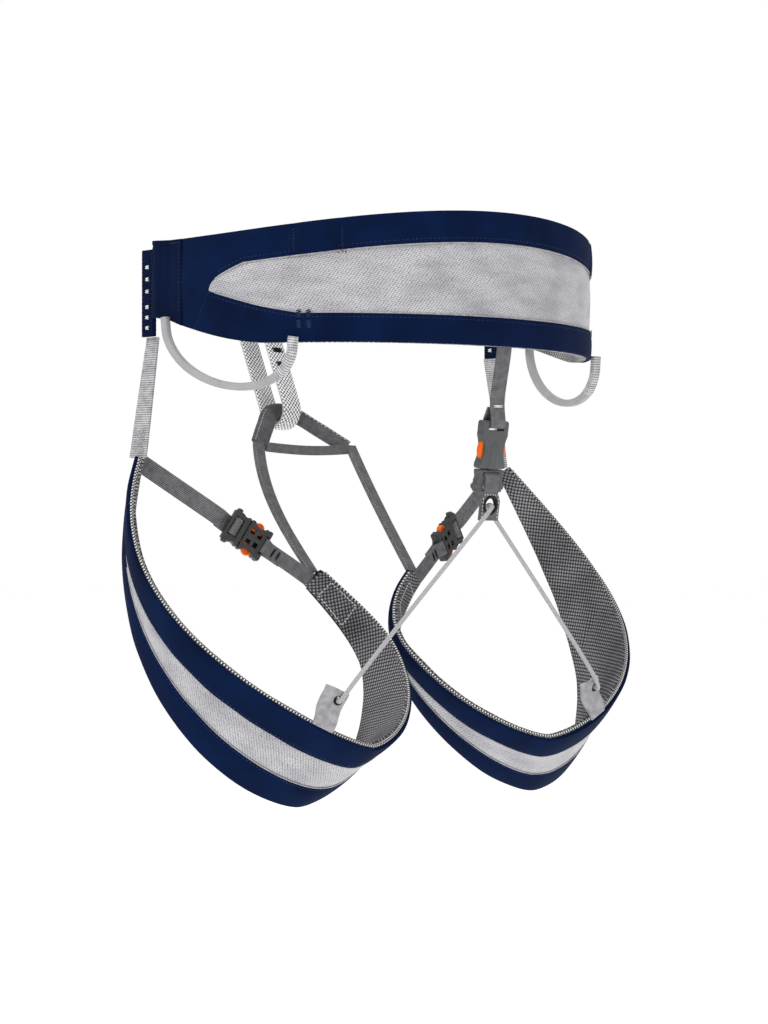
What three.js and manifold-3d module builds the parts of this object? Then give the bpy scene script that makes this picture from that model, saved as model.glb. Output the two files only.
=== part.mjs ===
import * as THREE from "three";
import { mergeVertices } from "three/addons/utils/BufferGeometryUtils.js";
import Module from "manifold-3d";

const wasm = await Module();
wasm.setup();

// Climbing harness, millimetres. +Z up, belay loop at -Y, the wearer's left at +X.
// The origin is the centre of the waist ring, level with the top third of the belt.

// waist ring (mid surface of the belt): half width, half depth in front and behind
const waistA = 155;
const waistFront = 106;
const waistBack = 133;
const beltEnd = 76;
const cuffEnd = 90;
const padThick = 5;
const shellThick = 3.2;
const topBack = 24;
const topSide = 7.5;
const bottomDeep = -61;
const bottomRise = 21;
const upperBand = 20;
const lowerBand = 18;
const gap = 0.3;

// front webbing and its buckle
const webWidth = 22;
const webZ = -19;
const webThick = 1.8;
const buckleAngle = 31;
const frameLength = 34;
const frameHeight = 32;
const webRightGap = 0.17;
const webLeftGap = 0.92;

// tie-in loops and belay loop
const bridgeReach = 17;
const bridgeHalf = 18;
const bridgeHeight = 16;
const belayHalf = 12;
const belayWidth = 15;
const belayThick = 4;
const belayClear = 17;
const belayTop = new THREE.Vector3(0, -waistFront - webWidth / 2 - belayClear, -5.5);
const belayBottom = new THREE.Vector3(0, -90, -103);
const sheathWidth = 13;
const cornerX = 39;
const cornerY = -70;
const cornerZ = -118;
const tieWidth = 10;
const crossWidth = 6;
const crossThick = 1.8;
const sheathThick = 3.4;
const bridgeThick = 3;
const sleeveThick = 3.2;
const tailThick = 1.6;
const tailInner = 2.2;
const tailTo = 63.5;
const keeperAngle = 52;

// leg loops: two edges, each an ellipse in plan that dips to its lowest point
const upperEdge = { x: 101, y: 20, rx: 98, ry: 75, turn: [-50, 257], low: -314, lowAt: 0.6,
  front: 184, back: 111, powers: [1.45, 1.5], pull: 0.29 };
const lowerEdge = { x: 100, y: -5, rx: 90, ry: 53, turn: [-48, 238], low: -351, lowAt: 0.57,
  front: 217, back: 139, powers: [1.65, 1.7], pull: 0.43 };
const pullFrom = 0.86;
const liningThick = 4;
const legShell = 2.4;
const seams = [0.32, 0.68];

// straps, tabs and cord
const strapWidth = 12;
const strapThick = 1.6;
const riserAngle = 68;
const sleeveStand = 6.1;
const sleeveTop = 4;
const sleeveLow = -52;
const sleeveWidth = 13.5;
const buckleCentre = new THREE.Vector3(87, -23, -178);
const rearBuckleZ = -135.5;
const rearInset = 17;
const rearHousingStretch = 1.9;
const rearPlugStretch = 1.15;
const eyeletZ = -161;
const tabWidth = 16;
const tabHeight = 25;
const tabAt = 0.5;
const cordRadius = 1.4;

// gear loops
const gearFront = 83;
const gearRear = 125;
const gearDrop = 37;
const gearRadius = 2.9;

const V = (x, y, z) => new THREE.Vector3(x, y, z);
const rad = (deg) => (deg * Math.PI) / 180;
const clamp = (v) => Math.min(Math.max(v, 0), 1);
const smooth = (v) => clamp(v) * clamp(v) * (3 - 2 * clamp(v));
const colours = {
  navy: [0x14264a, 0.85, 0],
  navyDark: [0x101d3a, 0.85, 0],
  meshGrey: [0xb4b4b6, 0.9, 0],
  lining: [0x6a696c, 0.95, 0],
  webbing: [0x727274, 0.85, 0],
  webbingLight: [0x98989a, 0.85, 0],
  white: [0xd8d8d8, 0.85, 0],
  plastic: [0x4c4d4f, 0.5, 0],
  orange: [0xf07a12, 0.45, 0],
  aluminium: [0xb9bcc0, 0.35, 0.9],
  cord: [0xa4a4a6, 0.8, 0],
};
const harness = new THREE.Group();

function material(name) {
  const [color, roughness, metalness] = colours[name];
  return new THREE.MeshStandardMaterial({ color, roughness, metalness });
}

function add(name, geometry, look, parent = harness) {
  const mesh = new THREE.Mesh(geometry, material(look));
  mesh.name = name;
  parent.add(mesh);
  return mesh;
}

// Closed sheet over a surface at(t, s): offsets run along the surface normal.
function sheet(at, tCount, sCount, range, inner, outer) {
  const points = [];
  const step = 1e-3;
  for (const offset of [inner, outer]) {
    for (let i = 0; i <= tCount; i += 1) {
      const t = i / tCount;
      const [low, high] = range(t);
      for (let j = 0; j <= sCount; j += 1) {
        const s = low + ((high - low) * j) / sCount;
        const along = at(Math.min(t + step, 1), s).sub(at(Math.max(t - step, 0), s));
        const across = at(t, s + 0.01).sub(at(t, s - 0.01));
        const normal = along.cross(across).normalize();
        points.push(at(t, s).addScaledVector(normal, offset));
      }
    }
  }
  const row = sCount + 1;
  const layer = row * (tCount + 1);
  const index = [];
  const quad = (a, b, c, d) => index.push(a, b, c, a, c, d);
  for (let i = 0; i < tCount; i += 1) {
    for (let j = 0; j < sCount; j += 1) {
      const k = i * row + j;
      quad(layer + k, layer + k + row, layer + k + row + 1, layer + k + 1);
      quad(k, k + 1, k + row + 1, k + row);
    }
    const a = i * row;
    const b = a + sCount;
    quad(a, a + row, layer + a + row, layer + a);
    quad(b, layer + b, layer + b + row, b + row);
  }
  for (let j = 0; j < sCount; j += 1) {
    const end = tCount * row + j;
    quad(j, layer + j, layer + j + 1, j + 1);
    quad(end, end + 1, layer + end + 1, layer + end);
  }
  const geometry = new THREE.BufferGeometry();
  const numbers = points.flatMap((p) => [p.x, p.y, p.z]);
  geometry.setAttribute("position", new THREE.Float32BufferAttribute(numbers, 3));
  geometry.setIndex(index);
  return outward(geometry);
}

// Turns a closed geometry's faces outward where they run the other way.
function outward(geometry) {
  const position = geometry.getAttribute("position");
  const index = geometry.getIndex();
  let volume = 0;
  for (let i = 0; i < index.count; i += 3) {
    const [a, b, c] = [0, 1, 2].map((k) => V().fromBufferAttribute(position, index.getX(i + k)));
    volume += a.dot(b.cross(c));
  }
  if (volume < 0) {
    const flipped = [];
    for (let i = 0; i < index.count; i += 3) {
      flipped.push(index.getX(i), index.getX(i + 2), index.getX(i + 1));
    }
    geometry.setIndex(flipped);
  }
  return geometry;
}

// Flat strap along a curve: side(t) points across its width.
function strap(curve, side, width, thick, count) {
  const at = (t, s) => curve(t).addScaledVector(side(t), (s - 0.5) * width);
  return sheet(at, count, 1, () => [0, 1], -thick / 2, thick / 2);
}

function line(from, to) {
  return (t) => from.clone().lerp(to, t);
}

function spline(points, closed = false) {
  const curve = new THREE.CatmullRomCurve3(points, closed, "centripetal");
  return (t) => curve.getPoint(t);
}

function across(from, to, normal) {
  return to.clone().sub(from).cross(normal).normalize();
}

function box(x0, x1, y0, y1, z0, z1) {
  const geometry = new THREE.BoxGeometry(x1 - x0, y1 - y0, z1 - z0);
  return geometry.translate((x0 + x1) / 2, (y0 + y1) / 2, (z0 + z1) / 2);
}

function rod(radius, depth, sides, x, y, z) {
  return new THREE.CylinderGeometry(radius, radius, depth, sides).rotateX(Math.PI / 2).translate(x, y, z);
}

function solid(geometry) {
  const bare = geometry.clone();
  bare.deleteAttribute("normal");
  bare.deleteAttribute("uv");
  const merged = mergeVertices(bare, 1e-4);
  return new wasm.Manifold(
    new wasm.Mesh({
      numProp: 3,
      vertProperties: new Float32Array(merged.getAttribute("position").array),
      triVerts: new Uint32Array(merged.getIndex().array),
    }),
  );
}

function boolean(adds, cuts) {
  let body = solid(adds[0]);
  for (const more of adds.slice(1)) {
    body = body.add(solid(more));
  }
  for (const cut of cuts) {
    body = body.subtract(solid(cut));
  }
  const mesh = body.getMesh();
  const geometry = new THREE.BufferGeometry();
  geometry.setAttribute("position", new THREE.Float32BufferAttribute(mesh.vertProperties, 3));
  geometry.setIndex(Array.from(mesh.triVerts));
  return geometry;
}

// Frame whose X runs along a strap, Z out of its face.
function frameAt(centre, along, face) {
  const x = along.clone().normalize();
  const y = face.clone().cross(x).normalize();
  const z = x.clone().cross(y);
  return new THREE.Matrix4().makeBasis(x, y, z).setPosition(centre);
}

function placed(name, geometry, look, matrix) {
  const mesh = add(name, geometry, look);
  mesh.applyMatrix4(matrix);
  return mesh;
}

// ---- waist ring
function ring(theta, z, offset = 0) {
  const a = rad(theta);
  const depth = Math.cos(a) > 0 ? waistFront : waistBack;
  return V((waistA + offset) * Math.sin(a), -(depth + offset) * Math.cos(a), z);
}

function zTop(theta) {
  return (topBack + topSide) / 2 + ((topBack - topSide) / 2) * Math.cos(rad(2 * theta));
}

function zBottom(theta) {
  const from = Math.min(theta, 360 - theta);
  return bottomDeep + bottomRise * (1 - smooth((from - 70) / 48));
}

const tipAngle = 100;
const seamAngle = 94.5;
const tipZ = -26.5;

function zMeshTop(theta) {
  const from = Math.min(theta, 360 - theta);
  const free = zTop(theta) - upperBand;
  return tipZ + 0.6 + (free - tipZ - 0.6) * Math.sqrt(clamp((from - tipAngle) / 11));
}

function zMeshLow(theta) {
  const from = Math.min(theta, 360 - theta);
  const free = zBottom(theta) + lowerBand;
  return tipZ - 0.6 + (free - tipZ + 0.6) * clamp((from - tipAngle) / 26) ** 0.7;
}

// Seam that runs from the panel's tip down and forward to the belt's lower edge.
function zSeam(theta) {
  const from = Math.min(theta, 360 - theta);
  const part = clamp((from - seamAngle) / (tipAngle - seamAngle));
  return zBottom(seamAngle) + (tipZ - zBottom(seamAngle)) * part;
}

function beltLayer(from, to, low, high, count, rows, inner, outer) {
  const at = (t, s) => ring(from + (to - from) * t, s);
  const range = (t) => {
    const theta = from + (to - from) * t;
    return [low(theta), high(theta)];
  };
  return sheet(at, count, rows, range, inner, outer);
}

const nearTip = (theta) => Math.min(theta, 360 - theta) < tipAngle;
const upperLow = (theta) => {
  const from = Math.min(theta, 360 - theta);
  if (from < seamAngle) {
    return zBottom(theta);
  }
  return (nearTip(theta) ? zSeam(theta) : zMeshTop(theta)) + gap;
};
const lowerHigh = (theta) => (nearTip(theta) ? zSeam(theta) : zMeshLow(theta)) - gap;
const g = 0.15;
add("waist_pad", beltLayer(beltEnd, 360 - beltEnd, zBottom, zTop, 56, 2, -padThick, -g), "lining");
add("waist_upper_band", beltLayer(cuffEnd, 270, upperLow, zTop, 72, 1, g, shellThick), "navy");
add("waist_mesh_panel", beltLayer(tipAngle, 260, (a) => zMeshLow(a) + gap / 2, (a) => zMeshTop(a) - gap / 2,
  64, 1, g, shellThick - 0.6), "meshGrey");
add("waist_lower_band", beltLayer(95, 265, zBottom, lowerHigh, 68, 1, g, shellThick), "navy");
for (const [side, sign] of [["left", 1], ["right", -1]]) {
  const turn = (theta) => (sign > 0 ? theta : 360 - theta);
  const [cuffA, cuffB] = [turn(beltEnd), turn(cuffEnd - 0.15)].sort((p, q) => p - q);
  add(`cuff_${side}`, beltLayer(cuffA, cuffB, zBottom, zTop, 8, 1, g, shellThick + 0.8), "navyDark");
  const middle = ring(turn(riserAngle), 0, sleeveStand);
  const sleeveLine = line(middle.clone().setZ(sleeveTop), middle.clone().setZ(sleeveLow));
  add(`riser_sleeve_${side}`, strap(sleeveLine, () => V(0, 1, 0), sleeveWidth, sleeveThick, 6), "navyDark");
}

// ---- front webbing, its buckle, tail and keeper
const perDegree = ring(buckleAngle + 0.5, 0).distanceTo(ring(buckleAngle - 0.5, 0));
const webRightTo = buckleAngle - (frameLength / 2 + webRightGap) / perDegree;
const webLeftFrom = buckleAngle + (frameLength / 2 + webLeftGap) / perDegree;
const lowWeb = () => webZ - webWidth / 2;
const highWeb = () => webZ + webWidth / 2;
add("front_web_right", beltLayer(-beltEnd + 0.2, webRightTo, lowWeb, highWeb, 32, 1,
  -webThick / 2, webThick / 2), "webbing");
add("front_web_left", beltLayer(webLeftFrom, beltEnd - 0.2, lowWeb, highWeb, 14, 1, -webThick / 2, webThick / 2),
  "webbing");
add("waist_tail", beltLayer(webLeftFrom + 3.4, tailTo, lowWeb, highWeb, 10, 1,
  tailInner, tailInner + tailThick), "webbing");
const buckleMatrix = frameAt(
  ring(buckleAngle, webZ),
  ring(buckleAngle + 1, 0).sub(ring(buckleAngle - 1, 0)),
  V(Math.sin(rad(buckleAngle)) / waistA, -Math.cos(rad(buckleAngle)) / waistFront, 0),
);
const hl = frameLength / 2;
const hh = frameHeight / 2;
const frameBody = boolean(
  [box(-hl, hl, -hh, hh, -1.5, 1.5)],
  [box(-hl + 4, -2, -hh + 4, hh - 4, -3, 3), box(2, hl - 4, -hh + 4, hh - 4, -3, 3)],
);
placed("buckle_frame", frameBody, "aluminium", buckleMatrix);
const sliderBody = boolean(
  [box(-9, 11, -hh + 1, hh - 1, 1.9, 4.4)],
  [box(-5, 7, -hh + 5, hh - 5, 1, 6)],
);
placed("buckle_slider", sliderBody, "aluminium", buckleMatrix);
const keeperMatrix = frameAt(
  ring(keeperAngle, webZ, 1.4),
  ring(keeperAngle + 1, 0).sub(ring(keeperAngle - 1, 0)),
  V(Math.sin(rad(keeperAngle)) / waistA, -Math.cos(rad(keeperAngle)) / waistFront, 0),
);
const keeper = boolean(
  [box(-5, 5, -webWidth / 2 - 2.2, webWidth / 2 + 2.2, -4.2, 4.6)],
  [box(-6, 6, -webWidth / 2 - 0.6, webWidth / 2 + 0.6, -2.7, 3.1)],
);
placed("tail_keeper", keeper, "webbing", keeperMatrix);

// ---- upper tie-in loop, belay loop
const faceY = -(waistFront + webThick / 2 + gap + 0.2);
const bridgePoint = (t) => {
  const a = Math.PI * (1 - t);
  return V(bridgeHalf * Math.cos(a), faceY + 0.3 - bridgeReach * Math.sin(a), webZ);
};
add("upper_tie_in_loop", strap(bridgePoint, () => V(0, 0, 1), bridgeHeight, bridgeThick, 20), "webbing");

const belayAxis = belayBottom.clone().sub(belayTop).normalize();
const belaySpan = belayBottom.distanceTo(belayTop) - 2 * belayHalf;
const belayOut = V(0, -belayAxis.z, belayAxis.y);
function belayLoop() {
  const path = new THREE.Shape();
  const half = belaySpan / 2;
  const outlines = [[belayHalf + belayThick / 2, path], [belayHalf - belayThick / 2, new THREE.Path()]];
  for (const [radius, target] of outlines) {
    target.moveTo(radius, -half);
    target.lineTo(radius, half);
    target.absarc(0, half, radius, 0, Math.PI, false);
    target.lineTo(-radius, -half);
    target.absarc(0, -half, radius, Math.PI, 2 * Math.PI, false);
    if (target !== path) {
      path.holes.push(target);
    }
  }
  const geometry = new THREE.ExtrudeGeometry(path, { depth: belayWidth, bevelEnabled: false, curveSegments: 10 });
  geometry.translate(0, 0, -belayWidth / 2);
  const middle = belayTop.clone().lerp(belayBottom, 0.5);
  return geometry.applyMatrix4(new THREE.Matrix4().makeBasis(belayOut, belayAxis, V(-1, 0, 0)).setPosition(middle));
}
add("belay_loop", belayLoop(), "white");

// ---- lower tie-in loop, cross strap and the straps down to the leg loops
const sheathApex = belayBottom.clone().addScaledVector(belayAxis, -belayThick / 2 - 0.35 - sheathWidth / 2);
const sheathPoint = (x, part) => V(x, cornerY, cornerZ).lerp(V(x, sheathApex.y, sheathApex.z), part);
const sheathPath = spline([
  sheathPoint(-cornerX, 0),
  sheathPoint(-cornerX * 0.62, 0.62),
  sheathPoint(-belayWidth * 0.6, 1),
  sheathPoint(belayWidth * 0.6, 1),
  sheathPoint(cornerX * 0.62, 0.62),
  sheathPoint(cornerX, 0),
]);
const sheathFace = V(0, -belayAxis.z, belayAxis.y);
const sheathSide = (t) => {
  const along = sheathPath(Math.min(t + 0.01, 1)).sub(sheathPath(Math.max(t - 0.01, 0)));
  return along.cross(sheathFace).normalize();
};
add("lower_tie_in_loop", strap(sheathPath, sheathSide, sheathWidth, sheathThick, 28), "webbing");
const crossZ = cornerZ - 1.5;
const crossHalf = cornerX - 6;
const crossLine = line(V(-crossHalf, cornerY + 4.2, crossZ), V(crossHalf, cornerY + 4.2, crossZ));
add("cross_strap", strap(crossLine, () => V(0, 0, 1), crossWidth, crossThick, 4), "webbing");

// ---- leg loops
function edge(shape, t) {
  const angle = rad(shape.turn[0] + shape.turn[1] * t);
  const before = t < shape.lowAt;
  const part = before ? (shape.lowAt - t) / shape.lowAt : (t - shape.lowAt) / (1 - shape.lowAt);
  const rise = (before ? shape.front : shape.back) * clamp(part) ** shape.powers[before ? 0 : 1];
  const reach = 1 - shape.pull * clamp((t - pullFrom) / (1 - pullFrom)) ** 2;
  const [dx, dy] = [shape.rx * Math.cos(angle), shape.ry * Math.sin(angle)];
  return V(shape.x + dx * reach, shape.y + dy * reach, shape.low + rise);
}

function legPoint(t, s, sign) {
  const p = edge(upperEdge, t).lerp(edge(lowerEdge, t), s);
  p.x *= sign;
  return p;
}

// The panel between the two navy bands closes to a point towards both ends.
function panelRange(t) {
  const open = Math.sin(Math.PI * clamp((t - 0.1) / 0.82)) ** 0.6;
  const middle = (seams[0] + seams[1]) / 2;
  const half = ((seams[1] - seams[0]) / 2) * open;
  return [middle - half, middle + half];
}

const legParts = {};
for (const [side, sign] of [["left", 1], ["right", -1]]) {
  const at = (t, s) => legPoint(t, s, sign);
  const out = (inner, outer) => (sign > 0 ? [-outer, -inner] : [inner, outer]);
  const seamGap = (t) => 0.2 / at(t, 1).distanceTo(at(t, 0));
  add(`leg_lining_${side}`, sheet(at, 52, 2, () => [0, 1], ...out(-liningThick, -g)), "lining");
  const upperSpan = (t) => [0, panelRange(t)[0] - seamGap(t)];
  const lowerSpan = (t) => [panelRange(t)[1] + seamGap(t), 1];
  add(`leg_upper_band_${side}`, sheet(at, 52, 1, upperSpan, ...out(g, legShell)), "navy");
  add(`leg_lower_band_${side}`, sheet(at, 52, 1, lowerSpan, ...out(g, legShell)), "navy");
  const panelAt = (t, s) => at(0.12 + 0.78 * t, s);
  const panelSpan = (t) => panelRange(0.12 + 0.78 * t);
  add(`leg_mesh_panel_${side}`, sheet(panelAt, 44, 1, panelSpan, ...out(g, legShell - 0.4)), "meshGrey");
  legParts[side] = {
    outer: at(0, 0.5),
    outerLower: at(0, 1),
    innerTie: at(1, 0.34),
    innerWeb: at(1, 0.66),
    innerDirection: at(1, 0.5).sub(at(0.99, 0.5)).normalize(),
    innerAcross: at(1, 1).sub(at(1, 0)).normalize(),
  };
}

// ---- side-release buckle: housing, plug and two sprung latches with orange pads
const buckleHalf = 11;
const buckleDeep = 3.5;
const housingFrom = -2;
const housingTo = 15;
const channelHalf = 8.5;
const channelDeep = 2;
const plugFrom = -15;
const plugTo = -2.6;
const plugDeep = 2.8;
const slotHalf = 6.7;
const latchDeep = 1.6;
const earHalf = 12.4;

// The plug's side of the buckle is lengthened by plugStretch, the housing's side by housingStretch.
function buckle(prefix, matrix, plugStretch = 1, housingStretch = 1) {
  const stretched = (geometry) => {
    const position = geometry.getAttribute("position");
    for (let i = 0; i < position.count; i += 1) {
      const x = position.getX(i);
      position.setX(i, x * (x < 0 ? plugStretch : housingStretch));
    }
    return geometry;
  };
  const through = buckleDeep + 1.5;
  const window = (from, to, sign) => box(from, to, sign > 0 ? 1.6 : -6, sign > 0 ? 6 : -1.6, -through, through);
  const body = boolean(
    [box(housingFrom, housingTo, -buckleHalf, buckleHalf, -buckleDeep, buckleDeep)],
    [
      box(housingFrom - 1, housingTo - 4, -channelHalf, channelHalf, -channelDeep, channelDeep),
      box(1, 9.4, -buckleHalf - 1, buckleHalf + 1, -channelDeep, channelDeep),
      window(0, 4, 1), window(0, 4, -1), window(5.6, 9.6, 1), window(5.6, 9.6, -1),
      box(housingTo - 3, housingTo - 1.6, -slotHalf + 0.2, slotHalf - 0.2, -through, through),
    ],
  );
  placed(`${prefix}_housing`, stretched(body), "plastic", matrix);
  const plug = boolean(
    [
      box(plugFrom, plugTo, -buckleHalf, buckleHalf, -plugDeep, plugDeep),
      box(plugFrom + 1.5, plugFrom + 4.5, -earHalf, earHalf, -plugDeep, plugDeep),
      box(plugTo - 0.4, 9, -1.2, 1.2, -1.5, 1.5),
    ],
    [
      box(plugFrom + 2, plugFrom + 3.6, -slotHalf, slotHalf, -through, through),
      box(plugFrom + 6.8, plugFrom + 8.8, -slotHalf, slotHalf, -through, through),
    ],
  );
  placed(`${prefix}_plug`, stretched(plug), "plastic", matrix);
  for (const [side, sign] of [["a", 1], ["b", -1]]) {
    const arm = box(-2.2, 9, 4.5, 6.2, -latchDeep, latchDeep);
    const pad = box(2, 8, 6.1, buckleHalf + 1, -latchDeep, latchDeep);
    const latch = boolean([arm, pad], []);
    if (sign < 0) {
      latch.applyMatrix4(new THREE.Matrix4().makeRotationX(Math.PI));
    }
    placed(`${prefix}_latch_${side}`, stretched(latch), "orange", matrix);
  }
}

// ---- risers, adjuster webbing and tie-in straps
for (const [side, sign] of [["left", 1], ["right", -1]]) {
  const leg = legParts[side];
  const turn = sign > 0 ? riserAngle : 360 - riserAngle;
  const riserTop = ring(turn, sleeveLow - 0.4, sleeveStand);
  const riserSide = (t) => V(-0.45 * sign * t, 1 - 0.11 * t, 0).normalize();
  const riserEnd = leg.outer.clone().add(V(0, 0, 1.4));
  add(`riser_${side}`, strap(line(riserTop, riserEnd), riserSide, strapWidth, strapThick, 12), "webbingLight");

  const centre = buckleCentre.clone();
  centre.x *= sign;
  const webStart = leg.outerLower.clone().add(V(-3.2 * sign, 0, 0));
  const endFace = leg.innerAcross.clone().cross(leg.innerDirection).normalize();
  if (endFace.y < 0) {
    endFace.negate();
  }
  const webEnd = leg.innerWeb.clone().addScaledVector(leg.innerDirection, 2).addScaledVector(endFace, 1.9);
  const direction = webEnd.clone().sub(webStart).normalize();
  const middle = webStart.clone().addScaledVector(direction, centre.clone().sub(webStart).dot(direction));
  const face = V(0.35 * sign, 0.93, 0.1);
  face.addScaledVector(direction, -face.dot(direction)).normalize();
  const matrix = frameAt(middle, direction, face);
  const sideWays = across(webStart, webEnd, face);
  const plugEnd = middle.clone().addScaledVector(direction, -15.4);
  const housingEnd = middle.clone().addScaledVector(direction, 15.4);
  add(`leg_web_outer_${side}`, strap(line(webStart, plugEnd), () => sideWays.clone(), strapWidth, strapThick, 8),
    "webbing");
  add(`leg_web_inner_${side}`, strap(line(housingEnd, webEnd), () => sideWays.clone(), strapWidth - 2, strapThick, 6),
    "webbing");
  buckle(`leg_buckle_${side}`, matrix);

  const tieStart = V((cornerX + 1) * sign, cornerY + 1, cornerZ - 3.7);
  const tieEnd = leg.innerTie.clone().addScaledVector(leg.innerDirection, 2.6).addScaledVector(endFace, -1.1);
  const tieSide = across(tieStart, tieEnd, V(0.5 * sign, 0.85, 0.2));
  add(`tie_in_strap_${side}`, strap(line(tieStart, tieEnd), () => tieSide.clone(), tieWidth, strapThick, 8), "webbing");
}

// ---- drop-seat strap at the back, its buckle, eyelet tab and cord
const rearTop = V(0, waistBack - padThick / 2, bottomDeep - 0.4);
const rearDirection = V(0, -0.16, -1).normalize();
const rearFace = V(0, 1, -0.16).normalize();
const rearCentre = V(0, waistBack - rearInset, rearBuckleZ);
const rearMatrix = frameAt(rearCentre, rearDirection.clone().negate(), rearFace);
const rearLow = rearCentre.clone().addScaledVector(rearDirection, -housingTo * rearHousingStretch - 0.4);
add("rear_strap", strap(line(rearTop, rearLow), () => V(1, 0, 0), strapWidth, strapThick, 8), "webbing");
buckle("rear_buckle", rearMatrix, rearPlugStretch, rearHousingStretch);

// The tab lies on the plug's outer face and hangs below it.
const tabStand = plugDeep + 1 + gap + 0.1;
const eyeletTop = rearCentre.clone().addScaledVector(rearDirection, 5.5).addScaledVector(rearFace, tabStand);
const eyeletLow = eyeletTop.clone().addScaledVector(rearDirection, (eyeletTop.z - eyeletZ + 10) / -rearDirection.z);
const eyeletMatrix = new THREE.Matrix4().makeBasis(
  V(1, 0, 0),
  eyeletTop.clone().sub(eyeletLow).normalize(),
  V(1, 0, 0).cross(eyeletTop.clone().sub(eyeletLow).normalize()),
);
eyeletMatrix.setPosition(eyeletLow);
const eyeletLength = eyeletTop.distanceTo(eyeletLow);
const eyeletUp = 10;
const eyeletTab = boolean(
  [box(-8, 8, 0, eyeletLength - 15, -1, 1), box(-5.6, 5.6, eyeletLength - 16, eyeletLength, -1, 1)],
  [rod(5.6, 6, 32, 0, eyeletUp, 0)],
);
placed("eyelet_tab", eyeletTab, "webbing", eyeletMatrix);
const grommetProfile = [
  [4.2, -1.9], [7.2, -1.9], [7.2, -1.3], [5.3, -1.3], [5.3, 1.3], [7.2, 1.3], [7.2, 1.9], [4.2, 1.9], [4.2, -1.9],
].map(([x, y]) => new THREE.Vector2(x, y));
const grommet = new THREE.LatheGeometry(grommetProfile, 32).rotateX(Math.PI / 2).translate(0, eyeletUp, 0);
placed("eyelet_grommet", grommet, "plastic", eyeletMatrix);

function tube(points, radius, segments, sides) {
  const circle = new THREE.Shape();
  circle.absarc(0, 0, radius, 0, 2 * Math.PI, false);
  return new THREE.ExtrudeGeometry(circle, {
    steps: segments,
    curveSegments: sides,
    bevelEnabled: false,
    extrudePath: new THREE.CatmullRomCurve3(points, false, "centripetal"),
  });
}

// Rear tabs stand on the leg loops' upper edges; the cord ends in a knot behind each.
const holes = {};
for (const [side, sign] of [["left", 1], ["right", -1]]) {
  const foot = legPoint(tabAt, 0, sign);
  const alongEdge = legPoint(tabAt + 0.02, 0, sign).sub(legPoint(tabAt - 0.02, 0, sign)).normalize();
  const lean = V(0, 0.05, 1);
  lean.addScaledVector(alongEdge, -lean.dot(alongEdge)).normalize();
  const normal = alongEdge.clone().cross(lean).normalize();
  if (normal.y < 0) {
    normal.negate();
  }
  const x = lean.clone().cross(normal).normalize();
  const matrix = new THREE.Matrix4().makeBasis(x, lean, normal).setPosition(foot.clone().addScaledVector(lean, 1.3));
  const tab = boolean([box(-tabWidth / 2, tabWidth / 2, 0, tabHeight, -1.2, 1.2)], [rod(2.6, 6, 24, 2.5, tabHeight - 6, 0)]);
  placed(`rear_tab_${side}`, tab, "webbingLight", matrix);
  holes[side] = { at: V(2.5, tabHeight - 6, 0).applyMatrix4(matrix), normal };
}

const eyelet = V(0, eyeletUp, 0).applyMatrix4(eyeletMatrix);
const cordPoints = [];
const left = holes.left;
const right = holes.right;
const inFront = (hole, reach) => hole.at.clone().addScaledVector(hole.normal, reach);
cordPoints.push(inFront(left, -4.5), inFront(left, 0), inFront(left, 4));
cordPoints.push(left.at.clone().lerp(eyelet, 0.1).add(V(0, 5, 2)));
cordPoints.push(left.at.clone().lerp(eyelet, 0.5).add(V(0, 3, 0)));
cordPoints.push(V(10, eyelet.y + 6.2, eyelet.z - 8), V(1, eyelet.y + 2.8, eyelet.z - 0.8));
cordPoints.push(V(-1, eyelet.y - 2.8, eyelet.z - 0.8), V(-10, eyelet.y - 6.2, eyelet.z - 8));
cordPoints.push(right.at.clone().lerp(eyelet, 0.5).add(V(0, 3, 0)));
cordPoints.push(right.at.clone().lerp(eyelet, 0.1).add(V(0, 5, 2)));
cordPoints.push(inFront(right, 4), inFront(right, 0), inFront(right, -4.5));
const knots = [left, right].map((hole) => {
  const centre = inFront(hole, -5.3);
  return new THREE.SphereGeometry(4, 12, 8).translate(centre.x, centre.y, centre.z);
});
add("elastic_cord", boolean([tube(cordPoints, cordRadius, 72, 4), ...knots], []), "cord");

// ---- gear loops
for (const [side, sign] of [["left", 1], ["right", -1]]) {
  const turn = (theta) => (sign > 0 ? theta : 360 - theta);
  const stand = shellThick + 0.8 + gap + gearRadius;
  const front = ring(turn(gearFront), zBottom(gearFront) + 2, stand);
  const rear = ring(turn(gearRear), zBottom(gearRear) + 3, stand);
  const points = [];
  for (let k = 0; k <= 12; k += 1) {
    const a = (Math.PI * k) / 12;
    const p = front.clone().lerp(rear, (1 - Math.cos(a)) / 2);
    p.z -= gearDrop * Math.sin(a) ** 0.85;
    points.push(p);
  }
  add(`gear_loop_${side}`, tube(points, gearRadius, 32, 4), "cord");
}

export default harness;
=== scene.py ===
import bpy
import math
from mathutils import Matrix, Vector, noise


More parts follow.
